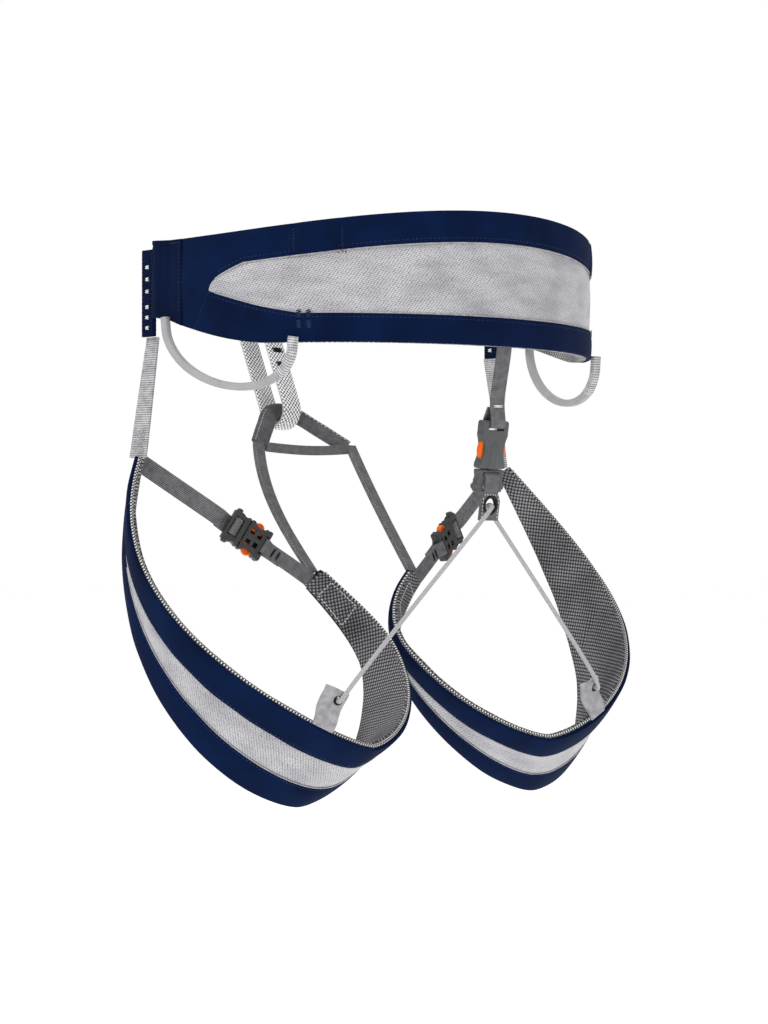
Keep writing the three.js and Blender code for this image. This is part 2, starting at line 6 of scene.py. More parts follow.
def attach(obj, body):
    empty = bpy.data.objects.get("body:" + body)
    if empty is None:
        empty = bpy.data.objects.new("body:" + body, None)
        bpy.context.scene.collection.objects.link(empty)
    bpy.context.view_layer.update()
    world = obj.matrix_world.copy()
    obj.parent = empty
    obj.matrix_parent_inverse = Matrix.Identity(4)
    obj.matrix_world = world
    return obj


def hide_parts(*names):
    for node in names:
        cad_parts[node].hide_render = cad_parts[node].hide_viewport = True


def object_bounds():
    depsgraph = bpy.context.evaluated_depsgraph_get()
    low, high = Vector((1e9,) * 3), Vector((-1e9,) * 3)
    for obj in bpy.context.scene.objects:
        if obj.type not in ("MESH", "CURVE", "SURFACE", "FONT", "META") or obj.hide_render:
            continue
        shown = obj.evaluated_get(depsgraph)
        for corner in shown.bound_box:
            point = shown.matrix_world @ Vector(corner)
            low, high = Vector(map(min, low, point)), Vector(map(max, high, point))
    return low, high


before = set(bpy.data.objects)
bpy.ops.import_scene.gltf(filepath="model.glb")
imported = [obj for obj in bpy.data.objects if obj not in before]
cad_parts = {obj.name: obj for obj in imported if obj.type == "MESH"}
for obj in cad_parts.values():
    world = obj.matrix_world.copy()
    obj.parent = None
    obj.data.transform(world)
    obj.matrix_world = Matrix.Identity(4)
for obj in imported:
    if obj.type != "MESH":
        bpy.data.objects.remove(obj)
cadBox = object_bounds()
mm = 0.001

# climbing harness: +Z up, belay loop towards -Y, the wearer's left at +X
viewpoint = {"azimuth": 138.8, "elevation": -1.0, "distance": 1.961, "aim": (-0.0069, 0.00604, -0.1641),
             "lens": 103.1}
studio = {"floorDrop": 0.17, "floorSize": 60, "background": "#ffffff", "ambient": 0.66}


def setCamera():
    turn, rise = math.radians(viewpoint["azimuth"]), math.radians(viewpoint["elevation"])
    back = Vector((math.sin(turn) * math.cos(rise), -math.cos(turn) * math.cos(rise), math.sin(rise)))
    place = Vector(viewpoint["aim"]) + back * viewpoint["distance"]
    bpy.ops.object.camera_add(location=place, rotation=back.to_track_quat("Z", "Y").to_euler())
    camera = bpy.context.object
    camera.name = "viewCamera"
    camera.data.lens = viewpoint["lens"]
    camera.data.sensor_width = 36
    camera.data.clip_end = 200
    bpy.context.scene.camera = camera


setCamera()
print("camera set")


# ---- small helpers for finishes
def linear(hexColour):  # sRGB hex to linear
    parts = [int(hexColour[i:i + 2], 16) / 255 for i in (1, 3, 5)]
    return [c / 12.92 if c <= 0.04045 else ((c + 0.055) / 1.055) ** 2.4 for c in parts] + [1.0]


def addNode(tree, kind, inputs=None, **settings):  # a value that is a socket gets linked
    made = tree.nodes.new(kind)
    for key, value in settings.items():
        setattr(made, key, value)
    for key, value in (inputs or {}).items():
        if isinstance(value, bpy.types.NodeSocket):
            tree.links.new(value, made.inputs[key])
        else:
            made.inputs[key].default_value = value
    return made


def newFinish(name, **sockets):
    finish = bpy.data.materials.new(name)
    finish.use_nodes = True
    shader = finish.node_tree.nodes["Principled BSDF"]
    for key, value in sockets.items():
        shader.inputs[key.replace("_", " ")].default_value = value
    return finish, finish.node_tree, shader


def ramp(tree, factor, stops):  # colour stops as (place, hex)
    made = addNode(tree, "ShaderNodeValToRGB", {"Fac": factor})
    line = made.color_ramp
    while len(line.elements) < len(stops):
        line.elements.new(0.5)
    for element, (place, colour) in zip(line.elements, stops):
        element.position = place
        element.color = linear(colour)
    return made.outputs["Color"]


def bands(period):  # wave texture scale for a period in mm on coordinates in metres
    return 2 * math.pi / 20 / (period * mm)


def patternAt(tree, turn=0.0, stretch=(1, 1, 1)):  # the piece's own pattern map, in metres
    spot = addNode(tree, "ShaderNodeUVMap", uv_map="UVMap")
    return addNode(tree, "ShaderNodeMapping", {"Vector": spot.outputs["UV"], "Rotation": (0, 0,
                                                                                          math.radians(turn)),
                                               "Scale": stretch}).outputs["Vector"]


def grain(tree, scale, detail=2.0):
    spot = addNode(tree, "ShaderNodeTexCoord")
    return addNode(tree, "ShaderNodeTexNoise", {"Vector": spot.outputs["Object"], "Scale": scale,
                                                "Detail": detail})


def blendColours(tree, factor, first, second, mode="MIX"):
    made = addNode(tree, "ShaderNodeMix", {"Factor": factor}, data_type="RGBA", blend_type=mode)
    for index, value in ((6, first), (7, second)):
        if isinstance(value, bpy.types.NodeSocket):
            tree.links.new(value, made.inputs[index])
        else:
            made.inputs[index].default_value = value
    return made.outputs[2]


def raiseSurface(tree, shader, height, strength, distance):
    made = addNode(tree, "ShaderNodeBump", {"Height": height, "Strength": strength,
                                            "Distance": distance * mm})
    tree.links.new(made.outputs["Normal"], shader.inputs["Normal"])


# ---- finishes
# Dyed nylon plain weave, laminated to foam: deep navy, very fine threads drawn at 1.1 mm so that they show
def navyCloth(name, light, dark):
    finish, tree, shader = newFinish(name, Roughness=0.8, Specular_IOR_Level=0.07)
    warp = addNode(tree, "ShaderNodeTexWave", {"Vector": patternAt(tree), "Scale": bands(1.1)},
                   bands_direction="X")
    weft = addNode(tree, "ShaderNodeTexWave", {"Vector": patternAt(tree), "Scale": bands(0.9)},
                   bands_direction="Y")
    weave = addNode(tree, "ShaderNodeMath", {0: warp.outputs["Fac"], 1: weft.outputs["Fac"]},
                    operation="MULTIPLY")
    cloud = grain(tree, 38, 3.0)
    tint = ramp(tree, cloud.outputs["Fac"], [(0.3, dark), (0.7, light)])
    speck = ramp(tree, weave.outputs["Value"], [(0.0, "#c4c8cf"), (1.0, "#ffffff")])
    tree.links.new(blendColours(tree, 0.8, tint, speck, "MULTIPLY"), shader.inputs["Base Color"])
    raiseSurface(tree, shader, weave.outputs["Value"], 0.35, 0.12)
    return finish


# Warp-knitted polyester mesh: pale grey, slanted rows of small bright loops 1.5 mm apart over shaded gaps
def panelMesh(name):
    finish, tree, shader = newFinish(name, Roughness=0.55, Sheen_Weight=0.2, Sheen_Roughness=0.4)
    loops = addNode(tree, "ShaderNodeTexVoronoi", {"Vector": patternAt(tree, 24,
                                                                       (1 / 1.9 / mm, 1 / 1.15 / mm, 1)),
                                                   "Scale": 1.0, "Randomness": 0.22}, voronoi_dimensions="2D")
    drift = addNode(tree, "ShaderNodeTexNoise", {"Vector": patternAt(tree, 12, (0.35, 1, 1)), "Scale": 90.0,
                                                 "Detail": 2.0})
    tone = ramp(tree, loops.outputs["Distance"], [(0.12, "#cdcdd0"), (0.42, "#a9a8ac"), (0.72, "#6f6f73")])
    soft = ramp(tree, drift.outputs["Fac"], [(0.32, "#cfcdd0"), (0.62, "#ffffff")])
    tree.links.new(blendColours(tree, 0.75, tone, soft, "MULTIPLY"), shader.inputs["Base Color"])
    invert = addNode(tree, "ShaderNodeMath", {0: 1.0, 1: loops.outputs["Distance"]}, operation="SUBTRACT")
    raiseSurface(tree, shader, invert.outputs["Value"], 0.6, 0.35)
    return finish


# Polyester spacer mesh: charcoal face with staggered pale loops every 2.3 mm
def spacerMesh(name, dark, light):
    finish, tree, shader = newFinish(name, Roughness=0.85, Specular_IOR_Level=0.15)
    holes = addNode(tree, "ShaderNodeTexVoronoi", {"Vector": patternAt(tree, 38,
                                                                       (1 / 2.3 / mm, 1 / 2.3 / mm, 1)),
                                                   "Scale": 1.0, "Randomness": 0.06}, voronoi_dimensions="2D")
    fade = grain(tree, 26, 2.0)
    dots = ramp(tree, holes.outputs["Distance"], [(0.14, light), (0.46, dark)])
    shade = ramp(tree, fade.outputs["Fac"], [(0.32, "#a9a8ab"), (0.6, "#ffffff")])
    tree.links.new(blendColours(tree, 0.8, dots, shade, "MULTIPLY"), shader.inputs["Base Color"])
    invert = addNode(tree, "ShaderNodeMath", {0: 1.0, 1: holes.outputs["Distance"]}, operation="SUBTRACT")
    raiseSurface(tree, shader, invert.outputs["Value"], 0.7, 0.5)
    return finish


# Woven polyamide webbing: ribs lie along or across it, with a tight selvedge, and threads catch the light
def webbingWeave(name, light, dark, rib, ribWay="Y", cross=1.0):
    finish, tree, shader = newFinish(name, Roughness=0.75, Specular_IOR_Level=0.15)
    ribs = addNode(tree, "ShaderNodeTexWave", {"Vector": patternAt(tree), "Scale": bands(rib)},
                   bands_direction=ribWay)
    other = "X" if ribWay == "Y" else "Y"
    picks = addNode(tree, "ShaderNodeTexWave", {"Vector": patternAt(tree), "Scale": bands(cross),
                                                "Distortion": 0.6},
                    bands_direction=other)
    weave = addNode(tree, "ShaderNodeMath", {0: picks.outputs["Fac"], 1: 0.35, 2: ribs.outputs["Fac"]},
                    operation="MULTIPLY_ADD")
    tone = ramp(tree, weave.outputs["Value"], [(0.1, dark), (0.9, light)])
    worn = grain(tree, 220, 3.0)
    soft = ramp(tree, worn.outputs["Fac"], [(0.35, "#c8c8ca"), (0.62, "#ffffff")])
    tree.links.new(blendColours(tree, 0.7, tone, soft, "MULTIPLY"), shader.inputs["Base Color"])
    raiseSurface(tree, shader, weave.outputs["Value"], 0.6, 0.3)
    return finish


# Belay loop sling: bright polyester diamonds with black threads between, six across its 15 mm
def slingWeave(name):
    finish, tree, shader = newFinish(name, Roughness=0.55, Sheen_Weight=0.2, Sheen_Roughness=0.4)
    knots = addNode(tree, "ShaderNodeTexVoronoi", {"Vector": patternAt(tree, 45,
                                                                       (1 / 1.95 / mm, 1 / 1.95 / mm, 1)),
                                                   "Scale": 1.0, "Randomness": 0.1}, voronoi_dimensions="2D")
    tone = ramp(tree, knots.outputs["Distance"], [(0.3, "#f4f4f5"), (0.42, "#c2c1c4"), (0.5, "#3a393b"), (0.6,
            "#0d0d0e")])
    tree.links.new(tone, shader.inputs["Base Color"])
    invert = addNode(tree, "ShaderNodeMath", {0: 1.0, 1: knots.outputs["Distance"]}, operation="SUBTRACT")
    raiseSurface(tree, shader, invert.outputs["Value"], 0.8, 0.7)
    return finish


# Braided cover: slanted strands round a cord, two colours where the second is given
def braid(name, light, dark, pitch, sharp=0.2, turn=35):
    finish, tree, shader = newFinish(name, Roughness=0.6, Sheen_Weight=0.15)
    one = addNode(tree, "ShaderNodeTexWave", {"Vector": patternAt(tree, turn), "Scale": bands(pitch)},
                  bands_direction="X")
    two = addNode(tree, "ShaderNodeTexWave", {"Vector": patternAt(tree, -turn), "Scale": bands(pitch)},
                  bands_direction="X")
    strands = addNode(tree, "ShaderNodeMath", {0: one.outputs["Fac"], 1: two.outputs["Fac"]},
                      operation="MULTIPLY")
    tree.links.new(ramp(tree, strands.outputs["Value"], [(sharp, dark), (sharp + 0.3, light)]),
                   shader.inputs["Base Color"])
    raiseSurface(tree, shader, strands.outputs["Value"], 0.5, 0.25)
    return finish


# Moulded plastic: even colour with a faint spark-eroded grain and a gentle tone drift
def moulded(name, colour, roughness, bump=0.12):
    finish, tree, shader = newFinish(name, Roughness=roughness, Specular_IOR_Level=0.22)
    pores = grain(tree, 2600, 2.0)
    drift = grain(tree, 60, 2.0)
    shade = ramp(tree, drift.outputs["Fac"], [(0.3, "#dcdcdc"), (0.7, "#ffffff")])
    tree.links.new(blendColours(tree, 0.5, linear(colour), shade, "MULTIPLY"), shader.inputs["Base Color"])
    raiseSurface(tree, shader, pores.outputs["Fac"], bump, 0.15)
    return finish


# Anodised aluminium, hot forged and tumbled: satin grey with faint drawn lines and brighter worn spots
def anodised(name):
    finish, tree, shader = newFinish(name, Metallic=1.0)
    spot = addNode(tree, "ShaderNodeTexCoord")
    drawn = addNode(tree, "ShaderNodeMapping", {"Vector": spot.outputs["Object"], "Scale": (300, 300, 5200)})
    lines = addNode(tree, "ShaderNodeTexNoise", {"Vector": drawn.outputs["Vector"], "Scale": 1.0,
                                                 "Detail": 2.0})
    tree.links.new(ramp(tree, lines.outputs["Fac"], [(0.35, "#9a9da2"), (0.7, "#c6c9cd")]),
                   shader.inputs["Base Color"])
    rough = addNode(tree, "ShaderNodeMapRange", {"Value": lines.outputs["Fac"], "To Min": 0.28,
                                                 "To Max": 0.42})
    tree.links.new(rough.outputs["Result"], shader.inputs["Roughness"])
    raiseSurface(tree, shader, lines.outputs["Fac"], 0.08, 0.1)
    return finish


# Bonded polyester thread, pulled tight: soft sheen and twist lines
def thread(name, colour, shadow):
    finish, tree, shader = newFinish(name, Roughness=0.6, Specular_IOR_Level=0.15)
    twist = grain(tree, 900, 2.0)
    tree.links.new(ramp(tree, twist.outputs["Fac"], [(0.35, shadow), (0.6, colour)]),
                   shader.inputs["Base Color"])
    return finish


finishes = {
    "navy": navyCloth("navyNylonWeave", "#021c44", "#011233"),
    "navyDark": navyCloth("navyNylonHem", "#01163a", "#010e2b"),
    "panel": panelMesh("greyPolyesterKnit"),
    # painted shade: the leg loops' lining gets the spacer mesh with darker dots and ground than the belt's,
    # standing in for the shade inside the loops
    "spacerWithPaintedShade": spacerMesh("shadedLegSpacerMesh", "#39383b", "#a3a2a5"),
    "spacerBelt": spacerMesh("paleSpacerMesh", "#5e5d60", "#cfced1"),
    "webbing": webbingWeave("greyPolyamideWebbing", "#838285", "#434245", 1.15),
    "webbingPlain": webbingWeave("greyFlatWebbing", "#7a797c", "#505053", 0.8, "X", 0.9),
    "webbingLight": webbingWeave("paleRibbedWebbing", "#c6c6c8", "#77777a", 1.5, "X", 1.2),
    "sheath": webbingWeave("charcoalTubularSheath", "#6d6c6f", "#4c4b4e", 0.9, "Y", 0.8),
    "sling": slingWeave("whitePolyesterSling"),
    "tab": webbingWeave("paleGrosgrainTape", "#b9b8bb", "#949396", 0.8, "X", 0.8),
    "cordCover": braid("paleBraidedElastic", "#d0cfd1", "#8d8c8f", 0.9),
    "piping": braid("blackWhiteBraidedPiping", "#e3e2e0", "#141415", 1.9, 0.16, 30),
    "binding": thread("blackPolyesterBinding", "#1a1a1d", "#0c0c0e"),
    "loopTube": moulded("greyMouldedSheath", "#a5a4a7", 0.42, 0.08),
    "loopRibbed": webbingWeave("greyRibbedGrosgrain", "#d2d1d3", "#7e7d80", 1.6, "X", 1.4),
    "plastic": moulded("charcoalAcetal", "#38393a", 0.42),
    "plasticSmooth": moulded("greyAcetal", "#535557", 0.38),
    "black": moulded("blackAcetal", "#161618", 0.4),
    "orange": moulded("orangeAcetal", "#f0660c", 0.35, 0.05),
    "aluminium": anodised("greyAnodisedAluminium"),
    "navyThread": thread("navyPolyesterThread", "#1e3358", "#0c1a36"),
    "darkThread": thread("darkPolyesterThread", "#16161c", "#0a0a10"),
    "paleThread": thread("palePolyesterThread", "#e6e5e6", "#bdbcbe"),
    "greyThread": thread("greyPolyesterThread", "#b3b2b5", "#88878a"),
}
print("finishes made:", len(finishes))


# ---- making and finishing pieces; shapes are worked out in mm
def finishPiece(piece, finish, nodes=(), body="harness", angle=50):
    piece.data.materials.clear()
    piece.data.materials.append(finishes[finish])
    for face in piece.data.polygons:
        face.material_index = 0
    bpy.ops.object.select_all(action="DESELECT")
    piece.select_set(True)
    bpy.context.view_layer.objects.active = piece
    bpy.ops.object.shade_smooth_by_angle(angle=math.radians(angle))
    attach(piece, body)
    if nodes:
        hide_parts(*nodes)
    return piece


def applied(piece, kind, **settings):
    bpy.context.view_layer.objects.active = piece
    bpy.ops.object.modifier_add(type=kind)
    made = piece.modifiers[-1]
    for key, value in settings.items():
        setattr(made, key, value)
    bpy.ops.object.modifier_apply(modifier=made.name)


def layGrid(name, columns, rows, place):  # place(u, row) gives a point and its pattern position, both in mm
    bpy.ops.object.select_all(action="DESELECT")
    bpy.ops.mesh.primitive_grid_add(x_subdivisions=columns, y_subdivisions=rows, size=2)
    piece = bpy.context.object
    piece.name = piece.data.name = name
    mesh = piece.data
    where = []
    for corner in mesh.vertices:
        where.append((round((corner.co.x + 1) / 2 * columns) / columns, round((corner.co.y + 1) / 2 * rows)))
    laid = [place(u, row) for u, row in where]
    for corner, (point, _) in zip(mesh.vertices, laid):
        corner.co = point * mm
    layer = mesh.uv_layers.active.data
    for loop in mesh.loops:
        layer[loop.index].uv = (laid[loop.vertex_index][1][0] * mm, laid[loop.vertex_index][1][1] * mm)
    mesh.update()
    return piece, where


def editAll(piece, *steps):  # runs mesh operators on the whole piece in edit mode
    bpy.ops.object.select_all(action="DESELECT")
    piece.select_set(True)
    bpy.context.view_layer.objects.active = piece
    bpy.ops.object.mode_set(mode="EDIT")
    bpy.ops.mesh.select_all(action="SELECT")
    for step, settings in steps:
        getattr(bpy.ops.mesh, step)(**settings)
    bpy.ops.object.mode_set(mode="OBJECT")


# A cloth layer with thickness between two offsets from a surface; lifts swell its faces
def clothLayer(name, columns, rows, place, outward, inner, outer, rim=0.4, lift=None, liftIn=None,
               segments=2):
    piece, where = layGrid(name, columns, rows, place)
    mesh = piece.data
    votes = sum(1 if face.normal.dot(outward(face.center / mm)) > 0 else -1 for face in mesh.polygons)
    if votes < 0:
        editAll(piece, ("flip_normals", {}))
        mesh = piece.data
    count = len(mesh.vertices)
    base = [corner.co.copy() for corner in mesh.vertices]
    normals = [mesh.vertices[i].normal.copy() for i in range(count)]
    applied(piece, "SOLIDIFY", thickness=(outer - inner) * mm, offset=-1)
    mesh = piece.data
    for i in range(count):
        u, row = where[i]
        mesh.vertices[i].co = base[i] + normals[i] * (outer + (lift(u, row) if lift else 0)) * mm
        mesh.vertices[i + count].co = base[i] + normals[i] * (inner - (liftIn(u, row) if liftIn else 0)) * mm
    mesh.update()
    if rim:
        applied(piece, "BEVEL", width=rim * mm, segments=segments, limit_method="ANGLE",
                angle_limit=math.radians(50))
    return piece


def carried(track, count):  # points along a track with frames that don't twist
    points = [track(i / count) for i in range(count + 1)]
    tangents = [(points[min(i + 1, count)] - points[max(i - 1, 0)]).normalized() for i in range(count + 1)]
    side = tangents[0].orthogonal().normalized()
    frames = []
    for i, tangent in enumerate(tangents):
        side = (side - tangent * side.dot(tangent)).normalized()
        frames.append((points[i], tangent, side, tangent.cross(side)))
    return frames


def trackLength(track, count=200):
    points = [track(i / count) for i in range(count + 1)]
    return sum((b - a).length for a, b in zip(points, points[1:]))


def splineTrack(points, closed=False):  # smooth track through points, at an even pace
    spots = [Vector(p) for p in points]
    count = len(spots)
    spans = count if closed else count - 1

    def rawAt(t):
        k = min(int(t * spans), spans - 1)
        f = t * spans - k
        pick = (lambda i: spots[i % count]) if closed else (lambda i: spots[min(max(i, 0), count - 1)])
        a, b, c, d = pick(k - 1), pick(k), pick(k + 1), pick(k + 2)
        if not closed and k == 0:
            a = b * 2 - c
        if not closed and k == spans - 1:
            d = c * 2 - b
        return 0.5 * ((2 * b) + (c - a) * f + (2 * a - 5 * b + 4 * c - d) * f * f + (3 * b - a - 3 * c + d)
                      * f ** 3)

    steps = 24 * spans
    fine = [rawAt(i / steps) for i in range(steps + 1)]
    sums = [0.0]
    for a, b in zip(fine, fine[1:]):
        sums.append(sums[-1] + (b - a).length)

    def track(t):
        goal = min(max(t, 0), 1) * sums[-1]
        low, high = 0, steps
        while high - low > 1:
            half = (low + high) // 2
            low, high = (half, high) if sums[half] <= goal else (low, half)
        span = sums[high] - sums[low]
        return fine[low].lerp(fine[high], (goal - sums[low]) / span if span else 0)

    return track


# A round or oval tube along a track; radius may change along it
def tubeAlong(name, track, columns, around, radius, closed=False, oval=None, sideAt=None):
    length = trackLength(track)
    frames = carried(track, columns)
    section = []  # an oval's section and the way round it, so that the pattern keeps its scale
    for row in range(around + 1):
        angle = 2 * math.pi * row / around
        spot = [math.copysign(abs(part) ** 0.55, part) for part in (math.cos(angle), math.sin(angle))]
        spot = (spot[0] * oval[0] / 2, spot[1] * oval[1] / 2) if oval else (0, 0)
        section.append((*spot, section[-1][2] + math.dist(spot, section[-1][:2]) if section else 0))

    def place(u, row):
        i = round(u * columns)
        point, tangent, side, up = frames[i]
        if sideAt:
            side = sideAt(u)
            side = (side - tangent * side.dot(tangent)).normalized()
            up = tangent.cross(side)
        angle = 2 * math.pi * row / around
        r = radius(u) if callable(radius) else radius
        across, out = math.cos(angle) * r, math.sin(angle) * r
        if oval:
            across, out, reach = section[row]
        else:
            reach = angle * r
        return point + side * across + up * out, (u * length, reach)

    piece, _ = layGrid(name, columns, around, place)
    editAll(piece, ("remove_doubles", {"threshold": 1e-6}))
    if not closed:
        bpy.ops.object.mode_set(mode="EDIT")
        bpy.ops.mesh.select_all(action="SELECT")
        bpy.ops.mesh.fill_holes(sides=0)
        bpy.ops.object.mode_set(mode="OBJECT")
    editAll(piece, ("select_all", {"action": "SELECT"}), ("normals_make_consistent", {"inside": False}))
    return piece


# Flat webbing along a track: side(u) points across it, and its selvedges stand a little proud
def webbing(name, track, side, width, thick, columns, rim=0.45, edge=0.12, lift=None):
    length = trackLength(track)
    across = [-0.5, -0.44, -0.36, -0.2, 0, 0.2, 0.36, 0.44, 0.5]

    def place(u, row):
        return track(u) + side(u) * across[row] * width, (u * length, across[row] * width)

    def swell(u, row):
        return (edge if row in (0, 1, 7, 8) else 0) + (lift(u, row) if lift else 0)

    face = side(0.5).cross(track(0.51) - track(0.49))
    return clothLayer(name, columns, 8, place, lambda p: face, -thick / 2, thick / 2, rim, swell, swell)


# Rows of sewn thread: one small stitch is modelled and copied to each place along a track
def oneStitch():
    bpy.ops.object.select_all(action="DESELECT")
    bpy.ops.mesh.primitive_uv_sphere_add(segments=6, ring_count=4, radius=1)
    shape = bpy.context.object
    corners = [corner.co.copy() for corner in shape.data.vertices]
    faces = [list(face.vertices) for face in shape.data.polygons]
    bpy.data.objects.remove(shape)
    return corners, faces


stitchShape = oneStitch()


def stitches(name, spots, size, finish, body="harness"):  # spots: (point, along, normal) in mm
    corners, faces = stitchShape
    points, links = [], []
    for centre, along, normal in spots:
        along = along.normalized()
        normal = (normal - along * normal.dot(along)).normalized()
        side = normal.cross(along)
        start = len(points)
        for corner in corners:
            points.append((centre + along * corner.z * size[0] / 2 + side * corner.x * size[1] / 2
                           + normal * corner.y * size[2] / 2) * mm)
        links += [[start + k for k in face] for face in faces]
    mesh = bpy.data.meshes.new(name)
    mesh.from_pydata(points, [], links)
    piece = bpy.data.objects.new(name, mesh)
    bpy.context.collection.objects.link(piece)
    editAll(piece, ("normals_make_consistent", {"inside": False}))
    return finishPiece(piece, finish, body=body, angle=80)


def seamSpots(surface, start, end, pitch):  # surface(t) gives (point, normal)
    length = trackLength(lambda t: surface(start + (end - start) * t)[0])
    count = max(2, round(length / pitch))
    spots = []
    for i in range(count):
        t = start + (end - start) * (i + 0.5) / count
        point, normal = surface(t)
        step = 0.35 * (end - start) / count
        spots.append((point, surface(t + step)[0] - surface(t - step)[0], normal))
    return spots


# Bar tack: a block of zigzag thread, long across, short along
def barTack(centre, along, across, normal, width, height, count):
    spots = []
    for i in range(count):
        shift = (i + 0.5) / count - 0.5
        lean = across * width + along * (height / count) * (0.9 if i % 2 else -0.9)
        spots.append((centre + along * shift * height, lean, normal))
    return spots


def clamp(value):
    return min(max(value, 0.0), 1.0)


def smooth(value):
    return clamp(value) ** 2 * (3 - 2 * clamp(value))


def bump(value, centre, half):  # a soft hump about a place
    return smooth(1 - abs(value - centre) / half)


def spaced(low, high, nearLow, nearHigh,
           middle):  # rows: set distances from both edges, and even ones between
    fit = min(1.0, (high - low) / (nearLow[-1] + nearHigh[-1] + 2))
    lows = [low + d * fit for d in nearLow]
    highs = [high - d * fit for d in reversed(nearHigh)]
    a, b = lows[-1], highs[0]
    return lows + [a + (b - a) * (i + 1) / (middle + 1) for i in range(middle)] + highs


# ---- waist belt
belt = {"halfWidth": 155, "depthFront": 106, "depthBack": 133, "endAt": 76, "cuffTo": 90, "pad": 5,
        "shell": 3.2,
        "topBack": 24, "topSide": 7.5, "bottomDeep": -61, "bottomRise": 21, "upper": 20, "lower": 18,
        "seamAt": 94.5, "tipAt": 100, "tipHeight": -26.5}


def ring(theta, z, offset=0.0):
    a = math.radians(theta)
    depth = belt["depthFront"] if math.cos(a) > 0 else belt["depthBack"]
    return Vector(((belt["halfWidth"] + offset) * math.sin(a), -(depth + offset) * math.cos(a), z))


def ringOut(theta):
    a = math.radians(theta)
    depth = belt["depthFront"] if math.cos(a) > 0 else belt["depthBack"]
    return Vector((math.sin(a) / belt["halfWidth"], -math.cos(a) / depth, 0)).normalized()


arcTable = [0.0]
for step in range(-180, 721):
    arcTable.append(arcTable[-1] + (ring(step / 2 + 0.5, 0) - ring(step / 2, 0)).length)


def arcAt(theta):  # length round the belt in mm
    place = (theta + 90) * 2
    k = int(place)
    return arcTable[k] + (arcTable[k + 1] - arcTable[k]) * (place - k)


def fromFront(theta):
    return min(theta, 360 - theta)


def zTop(theta):
    half = (belt["topBack"] - belt["topSide"]) / 2
    return belt["topSide"] + half + half * math.cos(math.radians(2 * theta))


def zBottom(theta):
    return belt["bottomDeep"] + belt["bottomRise"] * (1 - smooth((fromFront(theta) - 70) / 48))


def zPanelTop(theta):
    tip = belt["tipHeight"] + 0.6
    return tip + (zTop(theta) - belt["upper"]
                  - tip) * math.sqrt(clamp((fromFront(theta) - belt["tipAt"]) / 11))


def zPanelLow(theta):
    tip = belt["tipHeight"] - 0.6
    return tip + (zBottom(theta) + belt["lower"]
                  - tip) * clamp((fromFront(theta) - belt["tipAt"]) / 26) ** 0.7


def zSeam(theta):
    low = zBottom(belt["seamAt"])
    part = clamp((fromFront(theta) - belt["seamAt"]) / (belt["tipAt"] - belt["seamAt"]))
    return low + (belt["tipHeight"] - low) * part


def upperLow(theta):
    if fromFront(theta) < belt["seamAt"]:
        return zBottom(theta)
    return (zSeam(theta) if fromFront(theta) < belt["tipAt"] else zPanelTop(theta)) + 0.25


def lowerHigh(theta):
    return (zSeam(theta) if fromFront(theta) < belt["tipAt"] else zPanelLow(theta)) - 0.25


def beltLayer(name, start, end, low, high, columns, marks, inner, outer, **shape):
    heights = {}

    def rowsAt(theta):
        key = round(theta, 4)
        if key not in heights:
            heights[key] = spaced(low(theta), high(theta), *marks)
        return heights[key]

    def place(u, row):
        theta = start + (end - start) * u
        z = rowsAt(theta)[row]
        return ring(theta, z), (arcAt(theta), z)

    rows = len(rowsAt(start + (end - start) * 0.5)) - 1
    wrapped = {}
    for key in ("lift", "liftIn"):
        if key in shape:
            change = shape.pop(key)
            wrapped[key] = lambda u, row, change=change: change(start + (end - start) * u,
                                                                rowsAt(start + (end - start) * u)[row])
    return clothLayer(name, columns, rows, place, lambda p: Vector((p.x, p.y, 0)), inner, outer, **wrapped,
                      **shape)


def cloud(theta, z, size, amount):  # gentle unevenness of laminated cloth
    return amount * noise.noise(Vector((arcAt(theta) / size, z / size, 3.1)))


def groove(z, line, half=0.9, depth=0.35):
    return -depth * smooth(1 - abs(z - line) / half)


stitchLine = {"above": 2.5, "below": 2.2, "pitch": 2.9}
sleevePocket = {"from": 124.5, "to": 136.5}


def upperLift(theta, z):
    low, high = upperLow(theta), zTop(theta)
    part = clamp((z - low) / (high - low))
    swell = 0.75 * math.sin(math.pi * part) ** 0.7 + cloud(theta, z, 26, 0.35)
    for mid in (sleevePocket["from"], sleevePocket["to"], 360 - sleevePocket["from"],
                360 - sleevePocket["to"]):
        swell -= 0.55 * smooth(1 - abs(theta - mid) / 0.8)
    for nearEdge, farEdge in ((124.5, 136.5), (223.5, 235.5)):
        swell += 0.55 * smooth((theta - nearEdge) / 2.5) * smooth((farEdge - theta) / 2.5)
    if fromFront(theta) > belt["tipAt"]:
        swell += groove(z, low + stitchLine["above"])
    return swell


padMarks = ([0, 0.6, 1.8, 4], [0, 0.6, 1.8, 4], 10)
waistPad = beltLayer("waistPad", belt["endAt"], 360 - belt["endAt"], zBottom, lambda a: zTop(a) - 0.3, 260,
                     padMarks, -belt["pad"],
                     -0.15, rim=1.6, segments=3,
                     liftIn=lambda a, z: 0.9
                     * math.sin(math.pi * clamp((z - zBottom(a)) / (zTop(a) - zBottom(a)))) ** 0.5
                     + cloud(a, z, 22, 0.5))
finishPiece(waistPad, "spacerBelt", ["waist_pad"])

bandMarks = ([0, 0.5, 1.6, 2.5, 3.4, 5], [0, 0.7, 2.2, 3.4], 5)
upperBand = beltLayer("waistUpperBand", belt["cuffTo"], 270, upperLow, zTop, 360, bandMarks, 0.15,
                      belt["shell"] - 0.5,
                      rim=0.6, lift=upperLift)
finishPiece(upperBand, "navy", ["waist_upper_band"])

lowMarks = ([0, 0.7, 2.2, 3.4], [0, 0.5, 1.3, 2.2, 3.1, 4.2], 4)


